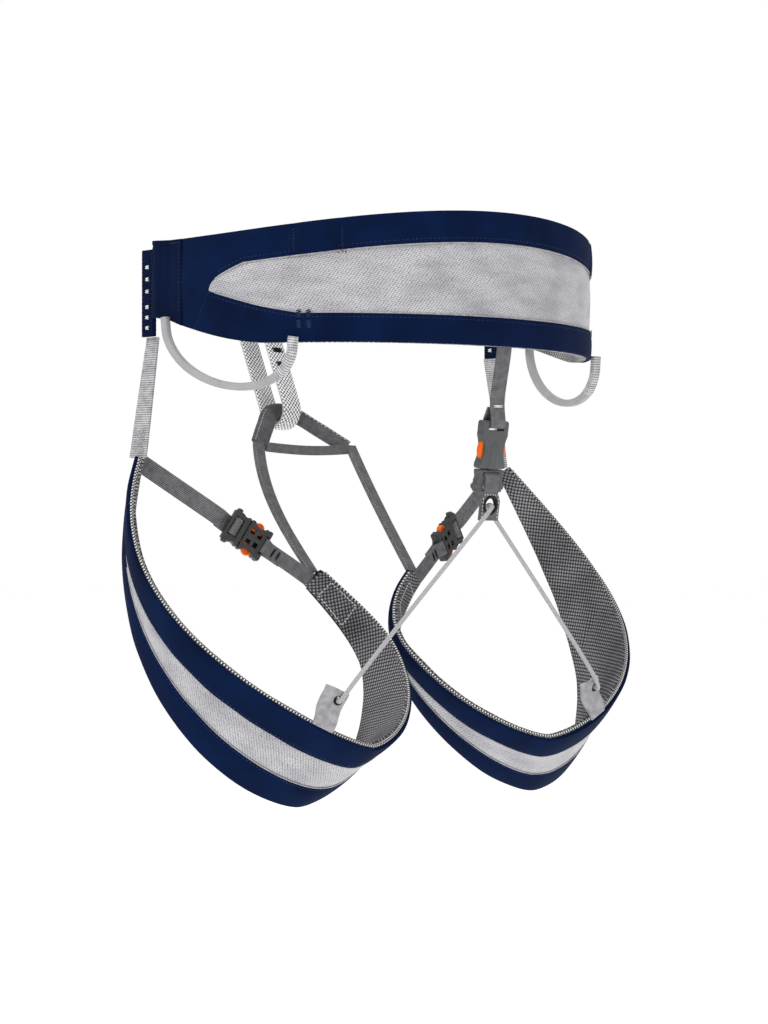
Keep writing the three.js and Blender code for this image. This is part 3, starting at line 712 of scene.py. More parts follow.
def lowerLift(theta, z):
    low, high = zBottom(theta), lowerHigh(theta)
    part = clamp((z - low) / max(high - low, 1))
    tall = clamp((high - low) / 10)
    return tall * (0.8 * math.sin(math.pi * part) ** 0.7 + groove(z,
            high - stitchLine["below"])) + cloud(theta, z, 24, 0.3)


lowerBand = beltLayer("waistLowerBand", 95, 265, zBottom, lowerHigh, 340, lowMarks, 0.15, belt["shell"] - 0.5,
                      rim=0.45, lift=lowerLift)
finishPiece(lowerBand, "navy", ["waist_lower_band"])

panelMarks = ([0, 0.6, 1.6], [0, 0.6, 1.6], 7)


def panelLift(theta, z):
    low, high = zPanelLow(theta), zPanelTop(theta)
    part = clamp((z - low) / max(high - low, 1))
    return 0.55 * math.sin(math.pi * part) ** 0.6 + cloud(theta, z, 18, 0.55)


beltPanel = beltLayer("waistMeshPanel", belt["tipAt"], 360 - belt["tipAt"], lambda a: zPanelLow(a) - 0.1,
                      lambda a: zPanelTop(a) + 0.1, 320, panelMarks, 0.15, belt["shell"] - 1.3, rim=0.3,
                      lift=panelLift)
finishPiece(beltPanel, "panel", ["waist_mesh_panel"])

# a thin pale cord lies in each long seam between panel and bands
for name, line, shift in (("panelSeamUpper", zPanelTop, -0.35), ("panelSeamLower", zPanelLow, 0.35)):
    def seamTrack(t, line=line, shift=shift):
        theta = belt["tipAt"] + 2.2 + (360 - 2 * belt["tipAt"] - 4.4) * t
        return ring(theta, line(theta) + shift, belt["shell"] - 0.75)
    cordEdge = tubeAlong(name, seamTrack, 260, 8, 0.5)
    finishPiece(cordEdge, "tab")


# sewn lines on the belt
def onBelt(line, offset):
    def surface(t):
        theta = 360 * t
        return ring(theta, line(theta), offset), ringOut(theta)
    return surface


upperSeam = onBelt(lambda a: upperLow(a) + stitchLine["above"], belt["shell"] - 0.45)
lowerSeam = onBelt(lambda a: lowerHigh(a) - stitchLine["below"], belt["shell"] - 0.5)
rows = seamSpots(upperSeam, 103 / 360, 257 / 360, stitchLine["pitch"]) + seamSpots(
    lowerSeam, 101 / 360, 259 / 360, stitchLine["pitch"])
stitches("beltSeamStitches", rows, (2.0, 0.75, 0.7), "navyThread")
diagonal = []
for sign in (1, -1):
    for i in range(13):
        theta = belt["seamAt"] + 0.4 + i * 0.42
        turn = theta if sign > 0 else 360 - theta
        lean = ring(turn + sign * 0.42, zSeam(theta + 0.42)) - ring(turn, zSeam(theta))
        diagonal.append((ring(turn, zSeam(theta) - 1.6, belt["shell"] - 0.3), lean, ringOut(turn)))
stitches("beltDiagonalStitches", diagonal, (1.9, 0.7, 0.6), "navyThread")

# the ice clipper sleeves: two upright seams each side, every one a pair of thread rows
clipper = []
for low, high in ((123.6, 125.6), (135.6, 137.4)):
    for theta in (low, high):
        for turn in (theta, 360 - theta):
            for i in range(8):
                z = -5.5 + i * 2.15
                clipper.append((ring(turn, z, belt["shell"] + 0.1), Vector((0, 0, 1)), ringOut(turn)))
stitches("clipperStitches", clipper, (1.6, 0.7, 0.6), "darkThread")
zigzag = []
for theta in (124.6, 136.5):
    for turn in (theta, 360 - theta):
        aside = (ring(turn + 1, 0) - ring(turn - 1, 0)).normalized()
        zigzag += barTack(ring(turn, 2.4, belt["shell"] - 0.1), Vector((0, 0, 1)), aside, ringOut(turn), 2.4,
                          15, 12)
stitches("clipperBarTacks", zigzag, (2.2, 0.55, 0.45), "navyThread")

# bar tacks that hold the gear loops to the lower band
tacks = []
for turn in (126, 128.4, 234, 231.6):
    aside = (ring(turn + 1, 0) - ring(turn - 1, 0)).normalized()
    for shift in (-50, -43.5):
        tacks += barTack(ring(turn, shift, belt["shell"] + 0.25), Vector((0, 0, 1)), aside, ringOut(turn),
                         4.0, 5.0, 8)
stitches("gearLoopBarTacks", tacks, (3.6, 0.6, 0.6), "navyThread")

# cuffs that close the belt's ends: folded cloth, a turned hem along the top and an upright seam
cuffMarks = ([0, 0.7, 2.0, 3.4], [0, 0.6, 2.6, 3.4, 4.6], 8)
for side, sign in (("Left", 1), ("Right", -1)):
    turnTo = (lambda a: a) if sign > 0 else (lambda a: 360 - a)
    first, last = sorted((turnTo(belt["endAt"] - 1.4), turnTo(belt["cuffTo"] - 0.1)))

    def cuffLift(theta, z):
        from0 = fromFront(theta)
        swell = 5.6 * smooth((84 - from0) / 8) + 0.35 * bump(from0, 81.5, 1.4) * smooth((z + 40) / 30)
        swell -= 0.5 * smooth(1 - abs(z - (zTop(theta) - 3.4)) / 0.8)
        swell -= 0.5 * smooth(1 - abs(from0 - 79.9 - 0.5 * math.sin(z / 14)) / 0.5)
        return swell + cloud(theta, z, 14, 0.45)

    cuff = beltLayer("cuff" + side, first, last, zBottom, zTop, 60, cuffMarks, 0.15, belt["shell"] + 0.6,
                     rim=0.9,
                     segments=3, lift=cuffLift)
    finishPiece(cuff, "navyDark", ["cuff_" + side.lower()])
    hem = []
    for i in range(7):
        turn = turnTo(82.8 + i)
        hem.append((ring(turn, zTop(82.8 + i) - 2.4, belt["shell"] + 0.75),
                    ring(turn + 0.5, 0) - ring(turn - 0.5, 0), ringOut(turn)))
    for i in range(17):
        turn = turnTo(88.9)
        hem.append((ring(turn, -38 + i * 2.55, belt["shell"] + 0.75), Vector((0, 0, 1)), ringOut(turn)))
    stitches("cuffStitches" + side, hem, (1.8, 0.7, 0.6), "navyThread")
print("waist belt made")


# ---- leg loops: two edges, each an oval in plan that dips to its lowest point
legEdges = {
    "upper": {"x": 101, "y": 20, "rx": 98, "ry": 75, "turn": (-50, 257), "low": -314, "lowAt": 0.6,
              "front": 184,
              "back": 111, "powers": (1.45, 1.5), "pull": 0.29},
    "lower": {"x": 100, "y": -5, "rx": 90, "ry": 53, "turn": (-48, 238), "low": -351, "lowAt": 0.57,
              "front": 217,
              "back": 139, "powers": (1.65, 1.7), "pull": 0.43},
}
leg = {"pullFrom": 0.86, "lining": 4, "shell": 2.4, "seams": (0.32, 0.68)}


def edgePoint(shape, t):
    angle = math.radians(shape["turn"][0] + shape["turn"][1] * t)
    before = t < shape["lowAt"]
    part = (shape["lowAt"] - t) / shape["lowAt"] if before else (t - shape["lowAt"]) / (1 - shape["lowAt"])
    rise = (shape["front"] if before else shape["back"]) * clamp(part) ** shape["powers"][0 if before else 1]
    reach = 1 - shape["pull"] * clamp((t - leg["pullFrom"]) / (1 - leg["pullFrom"])) ** 2
    return Vector((shape["x"] + shape["rx"] * math.cos(angle) * reach,
                   shape["y"] + shape["ry"] * math.sin(angle) * reach,
                   shape["low"] + rise))


def legPoint(t, s, sign):
    point = edgePoint(legEdges["upper"], t).lerp(edgePoint(legEdges["lower"], t), s)
    return Vector((point.x * sign, point.y, point.z))


def legHeight(t):
    return (edgePoint(legEdges["upper"], t) - edgePoint(legEdges["lower"], t)).length


def legOut(t, s, sign):
    t0, t1 = max(t - 0.002, 0), min(t + 0.002, 1)
    along = legPoint(t1, s, sign) - legPoint(t0, s, sign)
    across = legPoint(t, s + 0.01, sign) - legPoint(t, s - 0.01, sign)
    normal = along.cross(across).normalized()
    hub = Vector((100 * sign, 8, legPoint(t, s, sign).z))
    return normal if normal.dot(legPoint(t, s, sign) - hub) > 0 else -normal


legArc = [0.0]
for step in range(400):
    legArc.append(legArc[-1] + (legPoint((step + 1) / 400, 0.5, 1) - legPoint(step / 400, 0.5, 1)).length)


def legArcAt(t):
    k = min(int(t * 400), 399)
    return legArc[k] + (legArc[k + 1] - legArc[k]) * (t * 400 - k)


def panelSpan(t):
    opened = math.sin(math.pi * clamp((t - 0.1) / 0.82)) ** 0.6
    middle, half = sum(leg["seams"]) / 2, (leg["seams"][1] - leg["seams"][0]) / 2 * opened
    return middle - half, middle + half


def legLayer(name, sign, start, end, span, columns, marks, inner, outer, lift=None, liftIn=None, **shape):
    def rowsAt(t):
        low, high = span(t)
        height = legHeight(t)
        return [z / height for z in spaced(low * height, high * height, *marks)]

    def place(u, row):
        t = start + (end - start) * u
        s = rowsAt(t)[row]
        return legPoint(t, s, sign), (legArcAt(t), s * legHeight(t))

    rows = len(marks[0]) + len(marks[1]) + marks[2] - 1
    wrap = lambda change: (lambda u, row: change(start + (end - start) * u,
                                                 rowsAt(start + (end - start) * u)[row]))
    hub = Vector((100 * sign, 8, 0))
    return clothLayer(name, columns, rows, place, lambda p: Vector((p.x, p.y, 0)) - hub, inner, outer,
                      lift=wrap(lift) if lift else None, liftIn=wrap(liftIn) if liftIn else None, **shape)


def legCloud(t, s, sign, size, amount):
    return amount * noise.noise(Vector((legArcAt(t) / size, s * legHeight(t) / size, 7.7 * sign)))


def liningSwell(sign):
    def swell(t, s):
        height = legHeight(t)
        puff = 0.7 * math.sin(math.pi * clamp(s)) ** 0.5
        folds = 0.0
        for place, lean, deep, wide in ((0.24, 0.05, 1.5, 0.014), (0.33, -0.06, 1.1, 0.018), (0.415, 0.04,
                                                                                              0.9, 0.012)):
            middle = place + lean * (s - 0.5)
            folds -= deep * smooth(1 - abs(t - middle) / wide) * smooth((s - 0.08) * 3) * smooth((0.95 - s)
                                                                                                 * 3)
            folds += 0.6 * deep * smooth(1 - abs(t - middle - 0.022) / 0.02) * smooth(1 - abs(s - 0.5) * 2)
        return puff + folds + legCloud(t, s, sign, 24, 0.9)
    return swell


legUpperMarks = ([0, 0.7, 2.2, 3.4], [0, 0.5, 1.3, 2.1, 2.9, 4.2], 4)
legLowerMarks = ([0, 0.5, 1.3, 2.1, 2.9, 4.2], [0, 0.7, 2.2, 3.4], 4)
legStitch = 2.1
for side, sign in (("left", 1), ("right", -1)):
    name = side.capitalize()
    lining = legLayer("legLining" + name, sign, 0, 1, lambda t: (0, 1), 220, ([0, 0.6, 1.8, 4], [0, 0.6, 1.8,
                                                                                                 4], 14),
                      -leg["lining"], -0.15, rim=1.5, segments=3, liftIn=liningSwell(sign))
    # the lining's darker spacer mesh is painted shade for the inside of the loop
    finishPiece(lining, "spacerWithPaintedShade", ["leg_lining_" + side])

    def upperSwell(t, s, sign=sign):
        high = panelSpan(t)[0]
        part = clamp(s / high)
        deep = (high - s) * legHeight(t)
        return 0.75 * math.sin(math.pi * part) ** 0.7 + groove(deep, legStitch) + legCloud(t, s, sign, 26,
                                                                                           0.6)

    def lowerSwell(t, s, sign=sign):
        low = panelSpan(t)[1]
        part = clamp((s - low) / (1 - low))
        deep = (s - low) * legHeight(t)
        return 0.75 * math.sin(math.pi * part) ** 0.7 + groove(deep, legStitch) + legCloud(t, s, sign, 26,
                                                                                           0.6)

    def panelSwell(t, s, sign=sign):
        low, high = panelSpan(t)
        part = clamp((s - low) / max(high - low, 0.01))
        return 0.5 * math.sin(math.pi * part) ** 0.6 + legCloud(t, s, sign, 15,
                                                                0.9) * smooth(4 * part) * smooth(4 - 4 * part)

    upper = legLayer("legUpperBand" + name, sign, 0, 1, lambda t: (0.0,
            panelSpan(t)[0] - 0.15 / legHeight(t)), 240,
                     legUpperMarks, 0.15, leg["shell"] - 0.4, rim=0.5, lift=upperSwell)
    finishPiece(upper, "navy", ["leg_upper_band_" + side])
    lower = legLayer("legLowerBand" + name, sign, 0, 1, lambda t: (panelSpan(t)[1] + 0.15 / legHeight(t),
                                                                   1.0), 240,
                     legLowerMarks, 0.15, leg["shell"] - 0.4, rim=0.5, lift=lowerSwell)
    finishPiece(lower, "navy", ["leg_lower_band_" + side])
    panel = legLayer("legMeshPanel" + name, sign, 0.12, 0.9, panelSpan, 220, ([0, 0.6, 1.6], [0, 0.6, 1.6],
                                                                              6), 0.15,
                     leg["shell"] - 1.0, rim=0.3, lift=panelSwell)
    finishPiece(panel, "panel", ["leg_mesh_panel_" + side])

    # seam cords beside the panel, thread rows in the bands, braid along the top edge and a dark binding below
    for label, which, shift in (("Upper", 0, -0.3), ("Lower", 1, 0.3)):
        def seamTrack(v, which=which, shift=shift, sign=sign):
            t = 0.135 + 0.75 * v
            s = panelSpan(t)[which] + shift / legHeight(t)
            return legPoint(t, s, sign) + legOut(t, s, sign) * (leg["shell"] - 0.55)
        finishPiece(tubeAlong("legSeam" + label + name, seamTrack, 200, 8, 0.45), "tab")

    def legSeam(which, mmIn, sign=sign):
        def surface(t):
            s = panelSpan(t)[which] + mmIn / legHeight(t)
            out = legOut(t, s, sign)
            return legPoint(t, s, sign) + out * (leg["shell"] - 0.15), out
        return surface

    rows = seamSpots(legSeam(0, -legStitch), 0.04, 0.97, 2.9) + seamSpots(legSeam(1, legStitch), 0.04, 0.97,
                                                                          2.9)
    stitches("legSeamStitches" + name, rows, (2.0, 0.75, 0.7), "navyThread")

    def topEdge(v, sign=sign):
        t = 0.004 + 0.992 * v
        return legPoint(t, 0, sign) - legOut(t, 0.02, sign) * 1.2 + Vector((0, 0, 0.25))
    finishPiece(tubeAlong("legPiping" + name, topEdge, 320, 10, 1.05), "piping")

    def lowEdge(v, sign=sign):
        t = 0.004 + 0.992 * v
        return legPoint(t, 1, sign) - legOut(t, 0.98, sign) * 0.6 - Vector((0, 0, 0.15))
    finishPiece(tubeAlong("legBinding" + name, lowEdge, 300, 8, 0.75), "binding")

    # the inner end is bound and box-stitched where the two straps go in
    def endEdge(v, sign=sign):
        return legPoint(0.999, v, sign) - legOut(0.999, 0.5, sign) * 2.0
    finishPiece(tubeAlong("legEndBinding" + name, endEdge, 40, 8, 1.0), "binding")
    box = []
    corners = [(0.985, 0.12), (0.985, 0.88), (0.945, 0.9), (0.945, 0.1), (0.985, 0.12)]
    for (t0, s0), (t1, s1) in zip(corners, corners[1:]):
        steps = max(2, round((legPoint(t1, s1, sign) - legPoint(t0, s0, sign)).length / 2.4))
        for i in range(steps):
            f = (i + 0.5) / steps
            t, s = t0 + (t1 - t0) * f, s0 + (s1 - s0) * f
            out = legOut(t, s, sign)
            lean = legPoint(t1, s1, sign) - legPoint(t0, s0, sign)
            box.append((legPoint(t, s, sign) - out * (leg["lining"] + liningSwell(sign)(t, s) + 0.05), lean,
                        -out))
    stitches("legEndStitches" + name, box, (1.7, 0.7, 0.6), "paleThread")
print("leg loops made")


# ---- solid parts: blocks cut and joined, then softened
def block(name, x, y, z, soft=0.0, segments=2):  # spans in mm
    bpy.ops.object.select_all(action="DESELECT")
    bpy.ops.mesh.primitive_cube_add(size=1, location=[(a + b) / 2 * mm for a, b in (x, y, z)])
    piece = bpy.context.object
    piece.name = piece.data.name = name
    piece.scale = [(b - a) * mm for a, b in (x, y, z)]
    bpy.ops.object.transform_apply(location=True, rotation=False, scale=True)
    if soft:
        applied(piece, "BEVEL", width=soft * mm, segments=segments, limit_method="ANGLE")
    return piece


def drum(name, centre, radius, height, sides=32, soft=0.0, axis="Z"):
    bpy.ops.object.select_all(action="DESELECT")
    turn = {"Z": (0, 0, 0), "Y": (math.pi / 2, 0, 0), "X": (0, math.pi / 2, 0)}[axis]
    bpy.ops.mesh.primitive_cylinder_add(vertices=sides, radius=radius * mm, depth=height * mm,
                                        location=[c * mm for c in centre], rotation=turn)
    piece = bpy.context.object
    piece.name = piece.data.name = name
    bpy.ops.object.transform_apply(location=True, rotation=True, scale=True)
    if soft:
        applied(piece, "BEVEL", width=soft * mm, segments=2, limit_method="ANGLE",
                angle_limit=math.radians(50))
    return piece


def combine(piece, way, *tools):
    for tool in tools:
        applied(piece, "BOOLEAN", object=tool, operation=way, solver="EXACT")
        bpy.data.objects.remove(tool)
    return piece


def soften(piece, width, segments=2, angle=40):
    applied(piece, "BEVEL", width=width * mm, segments=segments, limit_method="ANGLE",
            angle_limit=math.radians(angle))
    return piece


def frameAt(centre, along, face):  # X runs along the strap, Z out of its face; in mm
    x = along.normalized()
    y = face.cross(x).normalized()
    z = x.cross(y)
    made = Matrix((x, y, z)).transposed().to_4x4()
    made.translation = centre
    return made


def settle(piece, matrix):  # moves a part made about the origin to its frame
    place = matrix.copy()
    place.translation = matrix.translation * mm
    piece.data.transform(place)
    piece.data.update()
    return piece


# side-release buckle, X along the strap: the plug at -X, the housing at +X, an orange latch at each side
buckle = {"width": 22, "thick": 7, "padRadius": 3.9, "edge": 0.9}


def makeHousing(name, smoothFace):
    half, deep = buckle["width"] / 2, buckle["thick"] / 2
    body = block(name, (-2, 15), (-half, half), (-deep, deep), buckle["edge"] + 0.3, 3)
    scallops = [drum("scallop", (5.2, sign * (half + 3.4), 0), 6.2, 12) for sign in (1, -1)]
    combine(body, "DIFFERENCE", *scallops)
    waist = [drum("waistCut", (11.4, sign * (half + 1.2), 0), 1.9, 12) for sign in (1, -1)]
    combine(body, "DIFFERENCE", *waist)
    combine(body, "DIFFERENCE", block("channel", (-3, 10.4), (-8.4, 8.4), (-2, 2)))
    combine(body, "DIFFERENCE", block("slot", (11.7, 13.5), (-6.6, 6.6), (-5, 5)))
    if smoothFace:
        bpy.ops.object.select_all(action="DESELECT")
        bpy.ops.mesh.primitive_uv_sphere_add(segments=40, ring_count=20, radius=mm)
        ridge = bpy.context.object
        ridge.data.transform(Matrix.Translation((0, 0, 2.3 * mm)) @ Matrix.Diagonal((8.8, 4.6, 3.1, 1)))
        combine(ridge, "DIFFERENCE", block("ridgeEnd", (-20, -1.9), (-9, 9), (-9, 9)), block("ridgeIn", (-20,
                20), (-9, 9), (-9, 2.4)))
        combine(body, "UNION", ridge)
    else:
        for x0, x1 in ((0.2, 3.6), (5.8, 9.2)):
            for sign in (1, -1):
                y = sorted((1.5 * sign, 5.2 * sign))
                shift = 0.7 if x0 < 3 else 0
                combine(body, "DIFFERENCE", block("window", (x0, x1), (y[0] + sign * shift,
                                                                       y[1] + sign * shift), (0, 5), 0.4))
        combine(body, "UNION", block("rim", (10.6, 11.4), (-7.4, 7.4), (2.9, 3.9), 0.3))
    return soften(body, 0.28)


def makePlug(name, smoothFace):
    body = block(name, (-15, -2.4), (-10.8, 10.8), (-2.8, 2.8), buckle["edge"], 3)
    ears = drum("ears", (-12, 0, 0), 2.0, 24.8, 24, 0.5, "Y")
    ears.data.transform(Matrix.Diagonal((1, 1, 1.35, 1)))
    combine(body, "UNION", ears)
    inner = (-5.6, -3.8) if smoothFace else (-8.7, -6.3)
    combine(body, "DIFFERENCE", block("slotOuter", (-13.1, -10.9), (-6.8, 6.8), (-6, 6)),
            block("slotInner", inner, (-6.8, 6.8), (-6, 6)))
    notches = [drum("notch", (-6.5, sign * 12.6, 0), 3.0, 12) for sign in (1, -1)]
    combine(body, "DIFFERENCE", *notches)
    combine(body, "UNION", block("tongue", (-3, 9), (-1.2, 1.2), (-1.4, 1.4), 0.3))
    return soften(body, 0.28)


def makeLatch(name, sign, smoothFace):
    pad = drum(name, (5, 8.1, 0), 3.1 if smoothFace else buckle["padRadius"], 3.1, 40, 0.55)
    if not smoothFace:
        combine(pad, "DIFFERENCE", drum("hollow", (5, 9.3, 1.7), 1.9, 2.2, 28, 0.3),
                drum("hollowLow", (5, 9.3, -1.7), 1.9, 2.2, 28, 0.3))
    combine(pad, "DIFFERENCE", block("inside", (0, 10), (0, 5.4), (-3, 3)))
    combine(pad, "UNION", block("arm", (-2.2, 9), (4.6, 6.1), (-1.5, 1.5), 0.3))
    soften(pad, 0.15)
    if sign < 0:
        pad.data.transform(Matrix.Rotation(math.pi, 4, "X"))
    return pad


def stretched(piece, plugWay, housingWay):
    for corner in piece.data.vertices:
        corner.co.x *= plugWay if corner.co.x < 0 else housingWay
    return piece


def placeBuckle(prefix, label, matrix, smoothFace, finish, plugWay=1, housingWay=1):
    for part, make in (("housing", makeHousing), ("plug", makePlug)):
        piece = settle(stretched(make(label + part.capitalize(), smoothFace), plugWay, housingWay), matrix)
        finishPiece(piece, finish, [f"{prefix}_{part}"], angle=35)
    for letter, sign in (("a", 1), ("b", -1)):
        made = makeLatch(label + "Latch" + letter.upper(), sign, smoothFace)
        latch = settle(stretched(made, plugWay, housingWay), matrix)
        node = f"{prefix}_latch_{letter}"
        finishPiece(latch, "orange", [node], node, angle=40)


def inFrame(matrix):  # a point given in a part's frame, in mm
    return lambda x, y, z: matrix @ Vector((x, y, z))


# ---- front webbing, buckle, tail and keeper
strapSet = {"web": 22, "webZ": -19, "webThick": 1.8, "buckleAt": 31, "wide": 12, "thick": 1.6, "tie": 10}
webMarks = ([0, 0.5, 1.3, 2.2], [0, 0.5, 1.3, 2.2], 4)
lowWeb, highWeb = strapSet["webZ"] - 11, strapSet["webZ"] + 11


def frontBand(name, start, end, inner, outer, node, columns):
    def selvedge(theta, z):
        return 0.12 if min(z - lowWeb, highWeb - z) < 1.5 else 0
    piece = beltLayer(name, start, end, lambda a: lowWeb, lambda a: highWeb, columns, webMarks, inner, outer,
                      rim=0.4,
                      lift=selvedge)
    return finishPiece(piece, "webbing", [node])


webRightTo, webLeftFrom = strapSet["buckleAt"] - 6.85, strapSet["buckleAt"] + 7.15
frontBand("frontWebbingRight", -75.8, webRightTo, -0.9, 0.9, "front_web_right", 160)
frontBand("frontWebbingLeft", webLeftFrom, 75.8, -0.9, 0.9, "front_web_left", 60)
frontBand("waistTail", webLeftFrom + 3.4, 63.5, 2.3, 3.7, "waist_tail", 40)

waistFrame = frameAt(ring(31, -19), ring(32, 0) - ring(30, 0), ringOut(31))
body = block("waistBuckleFrame", (-17, 17), (-16, 16), (-1.5, 1.5), 0.0)
for x in (-17, 17):
    for y in (-16, 16):
        corner = block("corner", (x - 1.5, x + 1.5), (y - 1.5, y + 1.5), (-3, 3))
        combine(body, "DIFFERENCE", corner)
combine(body, "DIFFERENCE", block("windowA", (-13, -2), (-12, 12), (-3, 3)), block("windowB", (2, 13), (-12,
        12), (-3, 3)))
finishPiece(settle(soften(body, 0.55, 3), waistFrame), "aluminium", ["buckle_frame"],
            angle=35)
body = block("waistBuckleSlider", (-9, 11), (-15, 15), (1.9, 4.4))
combine(body, "DIFFERENCE", block("window", (-5, 7), (-11, 11), (1, 6)))
for i in range(5):  # finger ribs
    combine(body, "DIFFERENCE", block("rib", (7.6 + i * 0.75, 7.9 + i * 0.75), (-10, 10), (4.15, 5)))
finishPiece(settle(soften(body, 0.4, 2), waistFrame), "aluminium", ["buckle_slider"],
            "buckle_slider", angle=35)

keeperFrame = frameAt(ring(52, -19, 1.4), ring(53, 0) - ring(51, 0), ringOut(52))
keeperAt = inFrame(keeperFrame)


def keeperTrack(t):
    path = [(12.2, 3.8), (-12.2, 3.8), (-12.2, -3.4), (12.2, -3.4)]
    total = [24.4, 7.2, 24.4, 7.2]
    reach = (t % 1.0) * sum(total)
    for k in range(4):
        if reach <= total[k]:
            a, b = path[k], path[(k + 1) % 4]
            f = reach / total[k]
            return keeperAt(0, a[0] + (b[0] - a[0]) * f, a[1] + (b[1] - a[1]) * f)
        reach -= total[k]
    return keeperAt(0, *path[0])


body = tubeAlong("tailKeeper", keeperTrack, 96, 12, 1, closed=True, oval=(10, 1.4),
                 sideAt=lambda u: keeperFrame.to_3x3() @ Vector((1, 0, 0)))
finishPiece(body, "sheath", ["tail_keeper"])


# ---- tie-in loops, belay loop
bridge = {"reach": 17, "half": 18, "height": 16}
faceY = -(belt["depthFront"] + 1.4)


def bridgeTrack(t):
    a = math.pi * (1 - t)
    return Vector((bridge["half"] * math.cos(a), faceY + 0.3 - bridge["reach"] * math.sin(a),
                   strapSet["webZ"]))


body = webbing("upperTieInLoop", bridgeTrack, lambda u: Vector((0, 0, 1)), bridge["height"], 3.0, 60, rim=0.8)
finishPiece(body, "sheath", ["upper_tie_in_loop"])
tacks = []
for t in (0.06, 0.94):
    point = bridgeTrack(t)
    along = (bridgeTrack(t + 0.02) - bridgeTrack(t - 0.02)).normalized()
    out = Vector((point.x, point.y - faceY, 0)).normalized()
    tacks += barTack(point + out * 1.75, Vector((0, 0, 1)), along, out, 5, 13, 16)
stitches("bridgeBarTacks", tacks, (4.4, 0.6, 0.5), "darkThread")

belay = {"half": 12, "width": 15, "thick": 4, "top": (0, -134, -5.5), "bottom": (0, -90, -103)}
belayTop, belayBottom = Vector(belay["top"]), Vector(belay["bottom"])
belayAxis = (belayBottom - belayTop).normalized()
belayOut = Vector((0, -belayAxis.z, belayAxis.y))
belayMiddle = belayTop.lerp(belayBottom, 0.5)
belaySpan = (belayBottom - belayTop).length - 2 * belay["half"]


def belayTrack(t, grow=0.0):
    r = belay["half"] + grow
    straight, bend = belaySpan, math.pi * belay["half"]
    reach = (t % 1.0) * (2 * straight + 2 * bend)
    if reach < straight:
        x, y = r, -straight / 2 + reach
    elif reach < straight + bend:
        a = (reach - straight) / belay["half"]
        x, y = r * math.cos(a), straight / 2 + r * math.sin(a)
    elif reach < 2 * straight + bend:
        x, y = -r, straight / 2 - (reach - straight - bend)
    else:
        a = math.pi + (reach - 2 * straight - bend) / belay["half"]
        x, y = r * math.cos(a), -straight / 2 + r * math.sin(a)
    return belayMiddle + belayOut * x + belayAxis * y


body = tubeAlong("belayLoop", belayTrack, 220, 24, 1, closed=True, oval=(belay["width"], belay["thick"]),
                 sideAt=lambda u: Vector((1, 0, 0)))
finishPiece(body, "sling", ["belay_loop"], angle=60)
tacks = []
for k in range(4):
    t = 0.09 + 0.045 * k
    point, along = belayTrack(t), (belayTrack(t + 0.01) - belayTrack(t - 0.01)).normalized()
    tacks += barTack(point + belayOut * 2.1, along, Vector((1, 0, 0)), belayOut, 11, 3.4, 7)
stitches("belayBarTacks", tacks, (9.5, 0.7, 0.6), "darkThread")

corner = {"x": 39, "y": -70, "z": -118, "sheath": 13, "thick": 3.4}
apex = belayBottom - belayAxis * (belay["thick"] / 2 + 0.35 + corner["sheath"] / 2)


def sheathPoint(x, part):
    return Vector((x, corner["y"], corner["z"])).lerp(Vector((x, apex.y, apex.z)), part)


sheathTrack = splineTrack([sheathPoint(-39, 0), sheathPoint(-24.2, 0.53), sheathPoint(-9, 1), sheathPoint(9,
                                                                                                          1),
                           sheathPoint(24.2, 0.53), sheathPoint(39, 0)])
sheathFace = Vector((0, -belayAxis.z, belayAxis.y))


def sheathSide(u):
    return (sheathTrack(min(u + 0.01, 1)) - sheathTrack(max(u - 0.01, 0))).cross(sheathFace).normalized()


body = tubeAlong("lowerTieInLoop", sheathTrack, 90, 20, 1, oval=(corner["sheath"], corner["thick"]),
                 sideAt=sheathSide)
finishPiece(body, "sheath", ["lower_tie_in_loop"], angle=60)
rows = []
for i in range(34):
    t = (i + 0.5) / 34
    if abs(t - 0.5) > 0.12:
        along = sheathTrack(min(t + 0.01, 1)) - sheathTrack(max(t - 0.01, 0))
        for face in (1, -1):
            rows.append((sheathTrack(t) + sheathSide(t) * 4.6 + sheathFace * face * 1.62, along,
                         sheathFace * face))
stitches("sheathStitches", rows, (1.9, 0.6, 0.5), "paleThread")


def crossTrack(t):
    return Vector((-36 + 72 * t, corner["y"] + 4.2 + 1.2 * math.sin(math.pi * t),
                   corner["z"] - 1.5 - 1.6 * math.sin(math.pi * t)))


body = webbing("crossStrap", crossTrack, lambda u: Vector((0, 0, 1)), 6.5, 1.6, 40, rim=0.4)
finishPiece(body, "webbingPlain", ["cross_strap"])
print("front webbing and loops made")


